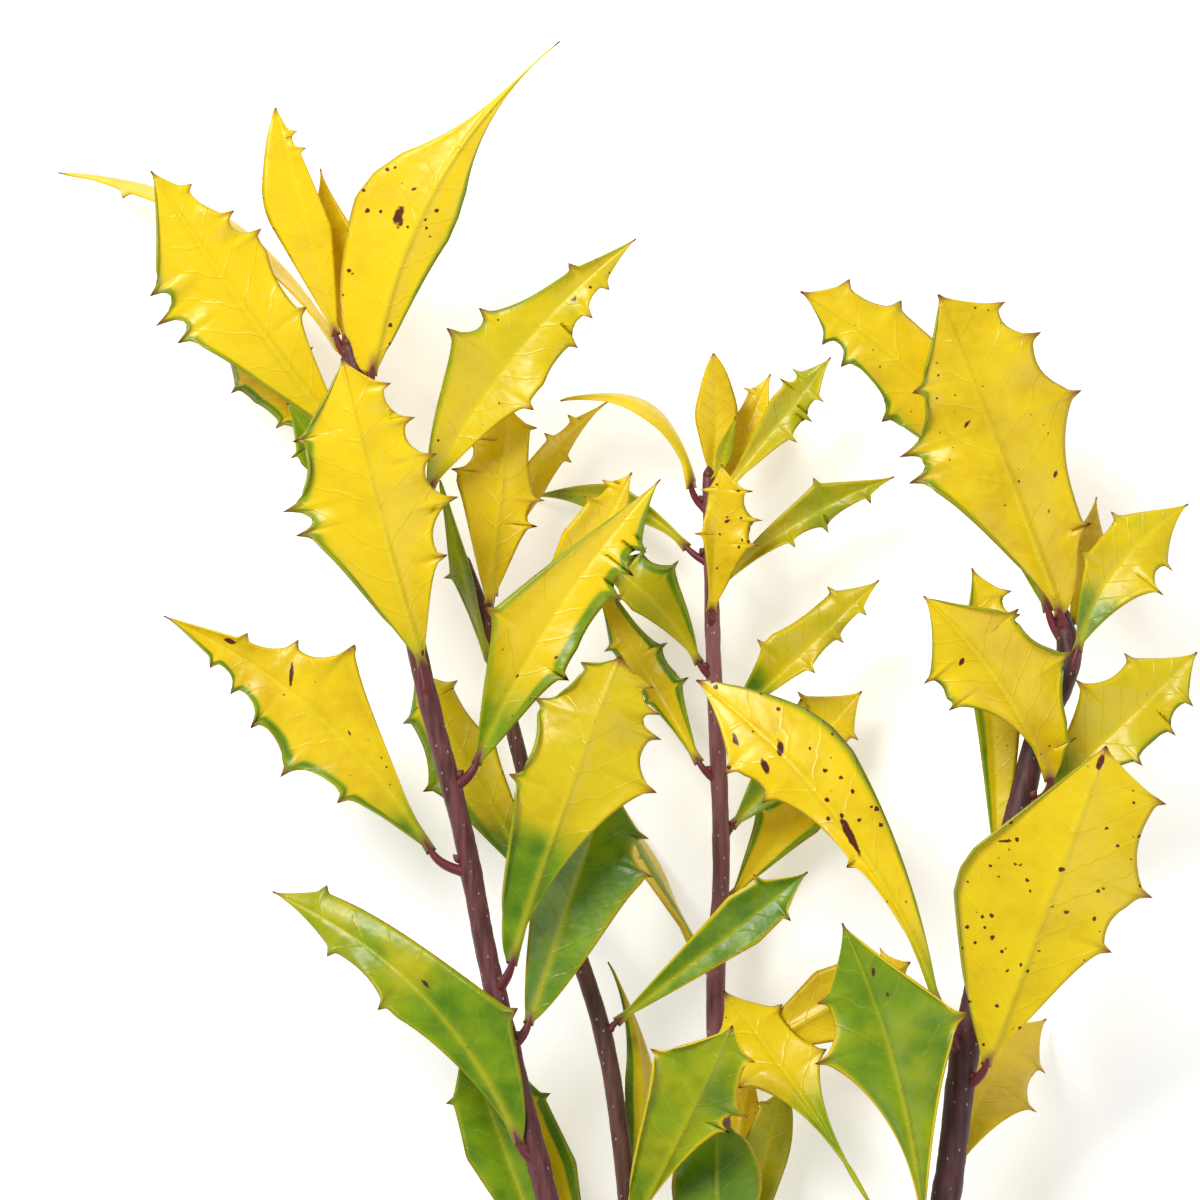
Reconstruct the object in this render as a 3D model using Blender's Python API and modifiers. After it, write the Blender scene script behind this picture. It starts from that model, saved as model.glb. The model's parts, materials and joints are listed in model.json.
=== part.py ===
"""A cut branch of golden oak-leaved holly, lying on its side.

A short woody foot forks into four leafy shoots. Lengths in this file are in
millimetres until they are handed to Blender. x runs across the branch, y along
it from the cut end towards the tips, and z up from the surface it lies on.
y = 0 is the line where the leafy crown begins; the foot reaches below it.
"""
import math
from collections import namedtuple

import bpy
import bmesh
from mathutils import Vector

MM = 0.001

CROWN_FOOT = -62.0
LEAF_THICKNESS = 1.1
PETIOLE_RADIUS = 1.4
PETIOLE_TIP_RADIUS = 0.9
PETIOLE_SINK = 0.2
PETIOLE_SIDES = 1
PETIOLE_STEPS = (0.0, 0.4, 0.75, 1.0)
PETIOLE_LEAD = 0.45
PETIOLE_FLARE = 4
STEM_SIDES = 2
STEM_STEP = 16.0
END_RUN = 1.0
CLEARANCE = 0.3
WELD_DISTANCE = 0.01

FOLD = 0.18
WAVE = 1.2
SHOULDER = 0.13
SHOULDER_TURN = 8
SCALLOP = 0.22
SCALLOP_ROUNDNESS = 0.75
APEX_TAPER = 1.3
ROUNDING = 0.07
TIP_WIDTH = 0.35
STATION_MERGE = 0.045
STATION_GAP = 0.15
SMOOTH_NOSE = 0.72

BARK = (0.10, 0.030, 0.026)
GOLD = (0.72, 0.52, 0.02)
GOLD_GREEN = (0.40, 0.42, 0.03)
BARK_ROUGHNESS = 0.5
LEAF_ROUGHNESS = 0.4
MASSES_PER_SHOOT = 3

# One point of a shoot: place along the branch, sideways, height and thickness.
Knot = namedtuple("Knot", "y x z thick")

SHOOTS = {
    "A": (Knot(-105, 24, 13, 6.6), Knot(-85, 15, 19, 6.8), Knot(-62, 3, 28, 6.4),
          Knot(0, -13, 44, 5.8), Knot(58, -27.5, 44, 5.4), Knot(91, -34, 43, 5.2),
          Knot(132, -44.5, 43, 5.0), Knot(190, -56, 41, 4.8), Knot(214, -63, 40, 3.2)),
    "B": (Knot(-140, 32, 8.5, 7.6), Knot(-105, 24, 13, 7.4), Knot(-62, 14.5, 20, 6.0),
          Knot(0, 7, 28, 4.8), Knot(40, 1, 28, 4.5), Knot(80, -12, 27, 4.2),
          Knot(114, -21, 27, 3.9), Knot(147, -29.5, 26, 3.4), Knot(159, -33.5, 26, 2.6)),
    "C": (Knot(-220, 36, 5.5, 11.0), Knot(-165, 33.5, 7, 9.8), Knot(-140, 32, 8.5, 9.0),
          Knot(-62, 31.5, 16, 6.4), Knot(0, 31.5, 22, 5.0), Knot(45, 29, 22, 4.6),
          Knot(85, 30.5, 22, 4.3), Knot(136, 28.5, 23, 3.8), Knot(181, 27.3, 24, 3.0)),
    "D": (Knot(-165, 33.5, 7, 8.0), Knot(-120, 50, 18, 8.2), Knot(-62, 72, 36, 7.6),
          Knot(0, 86, 48, 7.2), Knot(40, 91.5, 48, 7.0), Knot(101, 105.5, 46, 6.5),
          Knot(115, 109, 45, 6.3), Knot(135, 117, 43, 6.0), Knot(146, 115.5, 42, 4.2)),
}

PARENT = {"A": "B", "B": "C", "D": "C"}

# Node name of each bare limb, and of each mass with the stretch of shoot it fills.
LIMBS = {"C": "main_stem", "B": "left_limb", "A": "left_shoot_stalk", "D": "right_limb"}
MASSES = (
    ("left_shoot_lower_leaves", "A", CROWN_FOOT, 75),
    ("left_shoot_middle_leaves", "A", 75, 160),
    ("left_shoot_top_leaves", "A", 160, 214),
    ("second_shoot_lower_leaves", "B", CROWN_FOOT, 60),
    ("second_shoot_middle_leaves", "B", 60, 130),
    ("second_shoot_top_leaves", "B", 130, 159),
    ("third_shoot_lower_leaves", "C", CROWN_FOOT, 66),
    ("third_shoot_middle_leaves", "C", 66, 128),
    ("third_shoot_top_leaves", "C", 128, 181),
    ("right_shoot_lower_leaves", "D", CROWN_FOOT, 50),
    ("right_shoot_middle_leaves", "D", 50, 118),
    ("right_shoot_top_leaves", "D", 118, 146),
)

# One half of a blade: its widest reach from the midrib, the fractions of the
# midrib at which its spines stand, where it is widest, how it fills out below
# and above that, and how far its margin is lifted towards +z.
Side = namedtuple("Side", "reach spines widest root nose lift",
                  defaults=((), 0.58, 1.0, 0.5, 0.0))

# A leaf: shoot, height of its foot, face that looks up (1 upper, -1 under), the
# blade's base and tip seen from above, sideways bow of the midrib, heights of
# base, middle and tip over the shoot, and its left and right halves.
Leaf = namedtuple("Leaf", "name foot face base tip bow rise left right")


def leaf(name, foot, face, base, tip, bow, rise, left, right):
    return Leaf(name, foot, face, base, tip, bow, rise, Side(*left), Side(*right))


LEAVES = (
    # left shoot
    leaf("A1", 200, 1, (-64, 212), (-137, 258), 10, (-4, -13, -34),
         (3.5, (0.55, 0.8), 0.5, 1, 0.8, 9), (3.5, (), 0.5, 1, 0.8, -9)),
    leaf("A2", 186, -1, (-64, 190), (-112, 257), -1, (0, 5, 7),
         (19.5, (0.53, 0.61, 0.69), 0.6, 1.1, 0.8), (15.5, (0.39, 0.67, 0.76, 0.9), 0.6, 0.8, 0.8)),
    leaf("A3", 184, 1, (-62, 186), (-99, 225), 0, (-4, -16, -39),
         (11, (0.34, 0.61), 0.5), (10, (0.5,), 0.5)),
    leaf("A4", 166, 1, (-57, 168), (-78, 199), 0, (3, 9, 12),
         (6, (0.68,), 0.6, 1, 0.8), (5, (), 0.5)),
    leaf("A5", 208, 1, (-66, 216), (-81, 273), 0, (0, 4, 3),
         (10, (), 0.6, 1, 0.7), (7, (0.8, 0.88), 0.45, 0.8, 0.8)),
    leaf("A6", 206, 1, (-63, 213), (-70, 258), 0, (-2, -4, -4),
         (7, (0.6,), 0.5), (7, (0.62,), 0.55)),
    leaf("A7", 202, -1, (-57, 206), (-10, 289), -9, (4, 16, 14),
         (18, (), 0.47, 0.4, 3.5), (10, (), 0.47, 0.6, 2.4)),
    leaf("A8", 124, -1, (-44, 133), (-64, 210), -1, (5, 21, 24),
         (22, (0.5, 0.58, 0.78), 0.56, 1.1, 0.6), (19, (0.32, 0.49, 0.64, 0.77, 0.89), 0.5)),
    leaf("A9", 82, 1, (-42, 87), (-109, 146), 7, (1, 3, -2),
         (17, (0.27, 0.45, 0.62, 0.73, 0.82), 0.48, 0.9, 1.25),
         (18.5, (0.54, 0.66, 0.78), 0.53, 1.6, 1.9)),
    leaf("A10", 103, 1, (-31, 109), (15, 180), -4, (3, 9, 11),
         (14, (0.41,), 0.42, 1, 1.3), (12, (0.35, 0.65, 0.73, 0.81), 0.45, 0.7, 0.4)),
    leaf("A11", 52, -1, (-22, 59), (5, 136), -1, (6, 23, 26),
         (16, (0.55, 0.79, 0.94), 0.75, 0.5, 0.6), (19.5, (0.65, 0.81, 0.88, 0.95), 0.66, 1.9, 0.4)),
    leaf("A12", 38, 1, (-18, 44), (3, 106), 0, (1, 2, 2),
         (11, (0.6,), 0.5, 0.7), (16.5, (0.69, 0.82), 0.66, 0.7, 0.5)),
    leaf("A13", 167, 1, (-43, 177), (9, 240), -5, (-2, 4, 8),
         (16, (0.43, 0.53, 0.8), 0.44, 0.8, 1.3), (13, (0.39, 0.64, 0.74, 0.84), 0.48, 1, 1.0)),
    leaf("A14", 10, 1, (-20, 14), (-82, 77), 9, (3, 6, -8),
         (9, (0.56, 0.78), 0.5), (15, (0.31, 0.88), 0.32, 0.7, 0.55)),
    leaf("A15", -21, 1, (-14, -15), (-35, 42), 0, (-4, -9, -9),
         (11, (0.74,), 0.5, 0.7), (12, (0.7,), 0.5)),
    leaf("A16", -28, 1, (-2, -22), (-23, 35), 0, (-5, -16, -20),
         (9, (), 0.5), (8, (0.8,), 0.5)),
    leaf("A20", -40, 1, (-10, -34), (-72, -10), -4, (0, -4, -18),
         (15, (0.42, 0.6, 0.78),), (15, (0.5, 0.68, 0.84),)),
    leaf("A21", -54, -1, (-4, -53), (-62, -62), 5, (-3, -12, -26),
         (14, (0.45, 0.66, 0.82),), (14, (0.4, 0.6, 0.8),)),
    # second shoot
    leaf("B0", 131, 1, (-27, 134), (-40, 180), -1, (3, 11, 12),
         (3, (0.5,), 0.5, 1, 0.6, 5), (2.5, (), 0.5, 1, 0.6, -5)),
    leaf("B1", 144, -1, (-28, 148), (-23, 199), 0, (1, 5, 5),
         (12, (0.66, 0.8), 0.6, 0.9), (10, (0.42, 0.55, 0.9), 0.5, 0.9, 0.3)),
    leaf("B2", 146, 1, (-27, 151), (2, 200), -6, (-3, -6, -9),
         (4.5, (0.72, 0.84), 0.5, 1, 0.6, 6), (4.5, (0.7,), 0.5, 1, 0.6, -6)),
    leaf("B3", 133, 1, (-24, 137), (8, 182), 2.5, (0, 3, 4),
         (9, (0.8, 0.91), 0.6), (9, (0.5, 0.75), 0.5)),
    leaf("B4", 71, -1, (-15, 77), (-47, 133), 0, (-1, -4, -6),
         (12, (0.56, 0.83), 0.58, 0.9), (9, (0.6, 0.87), 0.6, 0.7, 0.3)),
    leaf("B5", 39, 1, (4, 44), (52, 82), 0, (2, 9, 11),
         (8.5, (0.82,), 0.68, 0.9, 0.5), (7, (0.82,), 0.66, 0.9, 0.5)),
    leaf("B7", 0, -1, (7, 4), (2, 59), 5.5, (-3, -9, -5),
         (4.5, (), 0.4, 0.8, 1.4, 4), (4.2, (), 0.4, 0.8, 1.4, -4)),
    leaf("B8", -14, -1, (8, -9), (33, 44), 0, (4, 18, 24),
         (15, (0.76,), 0.72, 0.6, 0.3), (12, (0.58, 0.67, 0.9), 0.66, 2.0, 0.4)),
    leaf("B20", -36, -1, (11, -30), (13, -6), 0, (3, 24, 38),
         (13, (0.5, 0.68, 0.84),), (12, (0.45, 0.62, 0.8),)),
    # third shoot
    leaf("C1", 177, 1, (28, 181), (28.5, 212), 1, (0, 0, 2),
         (5.8, (), 0.5, 0.7, 0.6), (5.8, (), 0.5, 0.7, 0.6)),
    leaf("C1b", 176, 1, (29, 180), (34, 196), 0, (2, 4, 8),
         (2.2, (), 0.45, 0.7, 0.9), (2.2, (), 0.45, 0.7, 0.9)),
    leaf("C2", 172, -1, (23, 178), (-10, 200), 10, (0, 4, 4),
         (2.4, (), 0.5, 0.8, 0.9, 5), (2.4, (), 0.5, 0.8, 0.9, -5)),
    leaf("C3", 174, 1, (31, 177), (58, 211), 0, (0, 1, 2),
         (6, (0.72, 0.81), 0.6), (5.5, (0.49, 0.64, 0.77), 0.55)),
    leaf("C3b", 173, 1, (30, 177), (43, 207), 0, (-3, -7, -9),
         (5, (0.5, 0.82), 0.6), (5, (0.7,), 0.55)),
    leaf("C4", 142, 1, (28, 147), (30.5, 184), 0, (3, 10, 12),
         (4.6, (0.52, 0.82), 0.6), (10.5, (0.47, 0.64, 0.83), 0.56, 0.9, 0.5)),
    leaf("C5", 159, 1, (22, 163), (-18, 176), 6, (-1, -8, -22),
         (6, (0.55,), 0.6), (5, (0.5,), 0.6)),
    leaf("C6", 147, 1, (29, 153), (74, 181), -3, (-2, -2, 0),
         (6.5, (0.66,), 0.64, 1, 0.9), (4.5, (0.42, 0.6, 0.85), 0.6, 1, 0.6)),
    leaf("C7", 130, 1, (25, 134), (0, 160), 2.5, (2, 3, 0),
         (6, (0.73, 0.88), 0.6), (10.5, (0.6, 0.8, 0.92), 0.62, 1, 0.5)),
    leaf("C8", 54, -1, (24, 62), (2, 101), 0, (-3, -10, -16),
         (2.7, (0.6,), 0.5, 1, 0.6, 6), (3, (), 0.5, 1, 0.6, -6)),
    leaf("C9", 104, 1, (25, 109), (-1, 153), 0, (1, -4, -8),
         (5.5, (0.39, 0.71), 0.6), (8, (0.39, 0.59, 0.91), 0.45)),
    leaf("C10", 114, 1, (32, 119), (70, 155), 0, (1, 6, 7),
         (10, (0.38, 0.8), 0.45, 0.9, 0.5), (4.5, (0.47, 0.67, 0.84), 0.5)),
    leaf("C11", 89, 1, (33, 93), (66, 127), 0, (-1, -5, -6),
         (13, (0.5, 0.76), 0.6), (9, (0.5, 0.8), 0.6, 0.8)),
    leaf("C13", 70, 1, (33, 75), (61, 109), 0, (-4, -13, -16),
         (10, (0.5, 0.75), 0.5), (7, (0.66,), 0.6)),
    leaf("C14", 28, -1, (35, 35), (78, 59), 0, (1, 3, 3),
         (11, (0.76, 0.9), 0.55, 0.9), (10, (0.72, 0.91), 0.5)),
    leaf("C17", -34, -1, (30, -28), (29, 19), 0, (4, 12, 8),
         (12, (), 0.66, 0.6, 0.35), (12, (), 0.7, 0.6, 0.35)),
    leaf("C18", -30, 1, (34, -22), (46, 27), 0, (-3, -6, -8),
         (8, (0.9,), 0.6), (6, (), 0.7, 0.6, 0.35)),
    leaf("C19", -22, -1, (30, -17), (39, 34), 0, (-5, -14, -15),
         (7, (0.7,), 0.6), (7, (0.6,), 0.6)),
    leaf("C20", -44, -1, (36, -40), (42, -14), 0, (3, 26, 42),
         (12, (0.5, 0.68, 0.84),), (13, (0.45, 0.62, 0.8),)),
    # right shoot
    leaf("D1", 140, -1, (115, 146), (84, 226), 0, (2, 13, 15),
         (24, (0.52, 0.6, 0.76), 0.56, 1.2, 1.0), (24, (0.22, 0.59, 0.79, 0.91), 0.62, 0.55, 0.4)),
    leaf("D2", 138, -1, (112, 147), (50, 227), 11, (0, 3, 2),
         (13, (0.27, 0.64, 0.82, 0.89), 0.6, 0.7, 0.5), (13, (0.5, 0.8, 0.92), 0.65, 0.9, 0.4)),
    leaf("D3", 128, 1, (119, 137), (147, 174), -5, (2, 2, -2),
         (10, (0.45, 0.68), 0.55), (12, (0.53, 0.7), 0.52)),
    leaf("D3b", 134, 1, (118, 144), (125, 176), 0, (-4, -12, -24),
         (5, (0.6,), 0.5), (6, (0.6,), 0.5)),
    leaf("D4", 36, -1, (85, 47), (24, 130), 8, (6, 11, -2),
         (13, (0.42, 0.68, 0.8), 0.76, 2.2, 0.5), (15.4, (), 0.7, 1.1, 0.8)),
    leaf("D5", -20, -1, (81, -15), (60, 70), 4, (5, 18, 21),
         (17, (0.64, 0.81), 0.64, 2.6, 0.6), (20, (0.65,), 0.65, 1.9, 0.8)),
    leaf("D6", 28, -1, (96, 34), (125, 114), 0, (5, 22, 29),
         (25.5, (), 0.52, 0.8, 1.0), (23, (0.44, 0.63, 0.9), 0.58, 1, 0.2)),
    leaf("D7", 98, -1, (112, 105), (80, 151), 3, (6, 20, 26),
         (16, (0.52, 0.7), 0.58, 2.4, 0.6), (19, (0.12, 0.43, 0.69), 0.45, 0.6, 0.6)),
    leaf("D8", 80, 1, (99, 85), (93, 158), 2, (-5, -8, -8),
         (5.5, (0.83,), 0.6, 0.6, 0.4), (9.5, (0.82, 0.9), 0.6, 0.7, 0.2)),
    leaf("D9", 93, 1, (110, 100), (149, 137), 0, (0, 2, 0),
         (15, (0.5, 0.75), 0.52, 0.9), (11, (0.45, 0.66, 0.81), 0.56, 0.8, 0.5)),
    leaf("D10", 3, 1, (89, 8), (113, 44), -4, (-3, -20, -46),
         (12, (0.5, 0.75), 0.55), (12, (0.53, 0.78), 0.52)),
    leaf("D11", -24, -1, (77, -18), (31, 52), 2, (-2, -11, -17),
         (12, (0.74, 0.9), 0.76, 4.5, 0.5), (11.5, (0.68, 0.86), 0.7, 4.5, 0.5)),
    leaf("D20", -34, 1, (86, -30), (144, -22), -4, (0, -4, -14),
         (15, (0.45, 0.64, 0.8),), (15, (0.4, 0.6, 0.78),)),
    leaf("D21", -50, -1, (80, -48), (136, -66), 4, (-3, -13, -37),
         (14, (0.42, 0.62, 0.8),), (14, (0.48, 0.68, 0.84),)),
)


def along(shoot, y):
    """Point (x, y, z) and thickness of a shoot at a height, on a smooth curve."""
    knots = SHOOTS[shoot]
    y = min(max(y, knots[0].y), knots[-1].y)
    index = next(i for i in range(1, len(knots)) if y <= knots[i].y)
    below, above = knots[index - 1], knots[index]
    before = knots[max(index - 2, 0)]
    after = knots[min(index + 1, len(knots) - 1)]
    span = above.y - below.y
    t = (y - below.y) / span

    def read(field):
        p0, p1, p2, p3 = (getattr(k, field) for k in (before, below, above, after))
        slope1 = (p2 - p0) / (above.y - before.y) * span
        slope2 = (p3 - p1) / (after.y - below.y) * span
        return ((2 * t**3 - 3 * t**2 + 1) * p1 + (t**3 - 2 * t**2 + t) * slope1
                + (3 * t**2 - 2 * t**3) * p2 + (t**3 - t**2) * slope2)

    return Vector((read("x"), y, read("z"))), read("thick")


def peaked(side, u):
    """Reach from the midrib at fraction u of its length, with a corner at its widest."""
    if u <= side.widest:
        return side.reach * (u / side.widest) ** side.root
    return side.reach * ((1 - u) / (1 - side.widest)) ** side.nose


def envelope(side, u):
    """Reach of the spine tips; on a margin with no spines the corner is rounded."""
    if side.spines:
        return peaked(side, u)
    step = min(ROUNDING, u, 1 - u)
    return (peaked(side, u - step) + peaked(side, u) + peaked(side, u + step)) / 3


def side_reach(side, u):
    """Reach of the margin: arcs hang between the spine tips."""
    for spine in side.spines:
        if abs(u - spine) < STATION_MERGE / 2:
            return envelope(side, spine)
    body = envelope(side, u)
    if side.spines:
        stops = (0.0,) + side.spines + (1.0,)
        index = next(i for i in range(1, len(stops)) if u <= stops[i])
        t = (u - stops[index - 1]) / (stops[index] - stops[index - 1])
        if index == 1:
            body *= 1 - SHOULDER * (1 - t**SHOULDER_TURN)
        elif index == len(stops) - 1:
            body = envelope(side, stops[-2]) * (1 - t) ** APEX_TAPER
        else:
            body *= 1 - SCALLOP * math.sin(math.pi * t) ** SCALLOP_ROUNDNESS
    return max(body, PETIOLE_RADIUS * (1 - u) ** PETIOLE_FLARE, TIP_WIDTH)


def margin_wave(side, u):
    """Spines stand alternately above and below the blade."""
    if not side.spines:
        return 0.0
    stops = (0.0,) + side.spines + (1.0,)
    signs = [0.0] + [(-1.0) ** i for i in range(len(side.spines))] + [0.0]
    index = next(i for i in range(1, len(stops)) if u <= stops[i])
    t = (u - stops[index - 1]) / (stops[index] - stops[index - 1])
    ease = (1 - math.cos(math.pi * t)) / 2
    return WAVE * (signs[index - 1] + (signs[index] - signs[index - 1]) * ease)


def midrib(lf, u):
    """Point on the midrib and the direction across it to its right."""
    base, tip = Vector(lf.base), Vector(lf.tip)
    chord = tip - base
    across = Vector((chord.y, -chord.x)).normalized()
    place = base + chord * u + across * (lf.bow * 4 * u * (1 - u))
    low, middle, high = lf.rise
    height = low * (1 - u) * (1 - 2 * u) + middle * 4 * u * (1 - u) + high * u * (2 * u - 1)
    height += along(lf.name[0], lf.foot)[0].z
    run = chord + across * (lf.bow * 4 * (1 - 2 * u))
    return Vector((place.x, place.y, height)), Vector((run.y, -run.x, 0)).normalized()


def blade_point(lf, u, v):
    """Point of the blade: u along the midrib, v from -1 left margin to 1 right."""
    rib, across = midrib(lf, u)
    side = lf.left if v < 0 else lf.right
    reach = side_reach(side, u)
    fill = reach / side.reach
    lift = abs(v) * (side.lift * fill + lf.face * FOLD * reach + margin_wave(side, u))
    return rib + across * (v * reach) + Vector((0, 0, lift))


def stations(lf):
    """Fractions of the midrib at which the blade has a row of points."""
    turns = [1.0]
    for side in (lf.left, lf.right):
        turns += side.spines or (side.widest, SMOOTH_NOSE)
    marks = [0.0]
    for mark in sorted(turns):
        if mark - marks[-1] > STATION_MERGE:
            marks.append(mark)
    rows = [marks[0]]
    for mark in marks[1:]:
        parts = math.ceil((mark - rows[-1]) / STATION_GAP - 0.2)
        parts = min(max(parts, 1), 2)
        rows += [rows[-1] + (mark - rows[-1]) * k / parts for k in range(1, parts + 1)]
    return rows


def principled(name, colour, roughness):
    material = bpy.data.materials.new(name)
    material.use_nodes = True
    shader = material.node_tree.nodes["Principled BSDF"]
    shader.inputs["Base Color"].default_value = (*colour, 1)
    shader.inputs["Roughness"].default_value = roughness
    shader.inputs["Metallic"].default_value = 0.0
    return material


def add_object(name, mesh, collection, material):
    mesh.materials.clear()
    mesh.materials.append(material)
    made = bpy.data.objects.new(name, mesh)
    collection.objects.link(made)
    return made


def evaluated_mesh(thing):
    bpy.context.view_layer.update()
    view = bpy.context.evaluated_depsgraph_get()
    return bpy.data.meshes.new_from_object(thing.evaluated_get(view), depsgraph=view)


def tube(name, points, radii, roundness, collection, material):
    """A closed tube through points, each with its own radius."""
    curve = bpy.data.curves.new(name + "_path", "CURVE")
    curve.dimensions = "3D"
    curve.bevel_depth = MM
    curve.bevel_resolution = roundness
    curve.use_fill_caps = True
    spline = curve.splines.new("POLY")
    spline.points.add(len(points) - 1)
    for knot, point, radius in zip(spline.points, points, radii):
        knot.co = (*(point * MM), 1)
        knot.radius = radius
    path = bpy.data.objects.new(name + "_path", curve)
    collection.objects.link(path)
    mesh = evaluated_mesh(path)
    bpy.data.objects.remove(path)
    bm = bmesh.new()
    bm.from_mesh(mesh)
    bmesh.ops.remove_doubles(bm, verts=bm.verts, dist=WELD_DISTANCE * MM)
    bmesh.ops.recalc_face_normals(bm, faces=bm.faces)
    bm.to_mesh(mesh)
    bm.free()
    mesh.shade_smooth()
    return add_object(name, mesh, collection, material)


def stretch_of(shoot, low, high, spread=0.0):
    """Points and radii of a shoot between two heights."""
    count = max(2, round((high - low) / STEM_STEP) + 1)
    heights = [low + (high - low) * k / (count - 1) for k in range(count)]
    heights[1:1] = [low + END_RUN]
    heights[-1:-1] = [high - END_RUN]
    points, radii = [], []
    for height in heights:
        point, thick = along(shoot, height)
        points.append(point)
        radii.append(thick / 2 + spread)
    return points, radii


def blade(lf, collection, material):
    """A blade as a bent sheet, two faces across, given its thickness by Solidify."""
    rows = stations(lf)
    bm = bmesh.new()
    bmesh.ops.create_grid(bm, x_segments=2, y_segments=len(rows) - 1, size=1)
    for vert in bm.verts:
        row = round((vert.co.y + 1) / 2 * (len(rows) - 1))
        vert.co = blade_point(lf, rows[row], vert.co.x) * MM
    mesh = bpy.data.meshes.new(lf.name + "_blade")
    bm.to_mesh(mesh)
    bm.free()
    made = add_object(lf.name + "_blade", mesh, collection, material)
    shell = made.modifiers.new("thickness", "SOLIDIFY")
    shell.thickness = LEAF_THICKNESS * MM
    shell.offset = 0
    return made


def petiole(lf, collection, material):
    """The leaf stalk: from inside the shoot, round into the foot of the blade."""
    foot = along(lf.name[0], lf.foot)[0]
    base = midrib(lf, 0)[0]
    inside = midrib(lf, PETIOLE_SINK)[0]
    lead = base - (inside - base).normalized() * ((base - foot).length * PETIOLE_LEAD)
    points, radii = [], []
    for t in PETIOLE_STEPS:
        points.append(foot * (1 - t) ** 2 + lead * (2 * t * (1 - t)) + base * t**2)
        radii.append(PETIOLE_RADIUS)
    points.append(inside)
    radii.append(PETIOLE_TIP_RADIUS)
    return tube(lf.name + "_petiole", points, radii, PETIOLE_SIDES, collection, material)


def join_with(base, collection):
    """Fuse a collection's objects onto base, and remove them."""
    union = base.modifiers.new("join", "BOOLEAN")
    union.operation = "UNION"
    union.operand_type = "COLLECTION"
    union.collection = collection
    union.solver = "EXACT"
    mesh = evaluated_mesh(base)
    base.modifiers.remove(union)
    base.data = mesh
    for thing in list(collection.objects):
        bpy.data.objects.remove(thing)
    bpy.data.collections.remove(collection)


def limb(shoot, parts, bark):
    """A bare limb, from its fork up to the foot of its lowest mass."""
    low = SHOOTS[shoot][0].y
    points, radii = stretch_of(shoot, low, CROWN_FOOT - CLEARANCE / 2)
    return tube(LIMBS[shoot], points, radii, STEM_SIDES, parts, bark)


def clear_of_parent(child, shoot, cutters, bark):
    """Cut a limb back so that it starts just clear of the one it forks from."""
    parent = PARENT[shoot]
    low = SHOOTS[parent][0].y
    points, radii = stretch_of(parent, low, CROWN_FOOT, CLEARANCE)
    cutter = tube(LIMBS[parent] + "_cutter", points, radii, STEM_SIDES, cutters, bark)
    cut = child.modifiers.new("fork", "BOOLEAN")
    cut.operation = "DIFFERENCE"
    cut.object = cutter
    cut.solver = "EXACT"
    child.data = evaluated_mesh(child)
    child.modifiers.clear()
    bpy.data.objects.remove(cutter)


def mass(name, shoot, low, high, parts, gold):
    """A stretch of shoot with every leaf whose foot is on it, fused in one body."""
    points, radii = stretch_of(shoot, low + CLEARANCE / 2, high - CLEARANCE / 2)
    body = tube(name, points, radii, STEM_SIDES, parts, gold)
    joined = bpy.data.collections.new(name + "_joined")
    bpy.context.scene.collection.children.link(joined)
    for lf in LEAVES:
        if lf.name[0] == shoot and low <= lf.foot < high:
            blade(lf, joined, gold)
            petiole(lf, joined, gold)
    join_with(body, joined)
    return body


def drop_to_ground(parts):
    """Hang every part on one empty, so that the origin is under the middle."""
    bpy.context.view_layer.update()
    corners = [v.co for thing in parts.objects for v in thing.data.vertices]
    low = Vector([min(c[i] for c in corners) for i in range(3)])
    high = Vector([max(c[i] for c in corners) for i in range(3)])
    middle = (low + high) / 2
    root = bpy.data.objects.new("branch", None)
    bpy.context.scene.collection.objects.link(root)
    root.location = (-middle.x, -middle.y, -low.z)
    for thing in parts.objects:
        thing.parent = root
    return root


def build():
    for thing in list(bpy.data.objects):
        bpy.data.objects.remove(thing)
    parts = bpy.data.collections.new("golden_holly_branch")
    cutters = bpy.data.collections.new("cutters")
    bpy.context.scene.collection.children.link(parts)
    bpy.context.scene.collection.children.link(cutters)
    for shoot, name in LIMBS.items():
        bark = principled(name, BARK, BARK_ROUGHNESS)
        made = limb(shoot, parts, bark)
        if shoot in PARENT:
            clear_of_parent(made, shoot, cutters, bark)
    for index, (name, shoot, low, high) in enumerate(MASSES):
        share = index % MASSES_PER_SHOOT / (MASSES_PER_SHOOT - 1)
        colour = [a + (b - a) * share for a, b in zip(GOLD_GREEN, GOLD)]
        mass(name, shoot, low, high, parts, principled(name, colour, LEAF_ROUGHNESS))
    return drop_to_ground(parts)


build()
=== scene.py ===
"""The looks of a cut branch of golden oak-leaved holly, lying on a pale floor.

The leaves grow by the same table and rule as the solid part, carried finer: each
blade has spines, a raised midrib, veins and a waved margin. Tables and shape
functions are in millimetres, with y = 0 where the leafy crown begins; row_point
turns them into metres in the frame of the part.
"""
import json
import math
import random
from collections import namedtuple

import bpy
import numpy as np
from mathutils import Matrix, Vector, noise


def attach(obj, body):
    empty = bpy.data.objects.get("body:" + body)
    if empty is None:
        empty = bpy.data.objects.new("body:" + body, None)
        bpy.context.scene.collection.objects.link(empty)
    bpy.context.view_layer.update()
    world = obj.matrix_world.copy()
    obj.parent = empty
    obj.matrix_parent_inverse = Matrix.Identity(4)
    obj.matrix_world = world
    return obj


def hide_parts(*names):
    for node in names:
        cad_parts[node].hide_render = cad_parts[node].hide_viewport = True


MM = 0.001
SEED = 41

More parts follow.
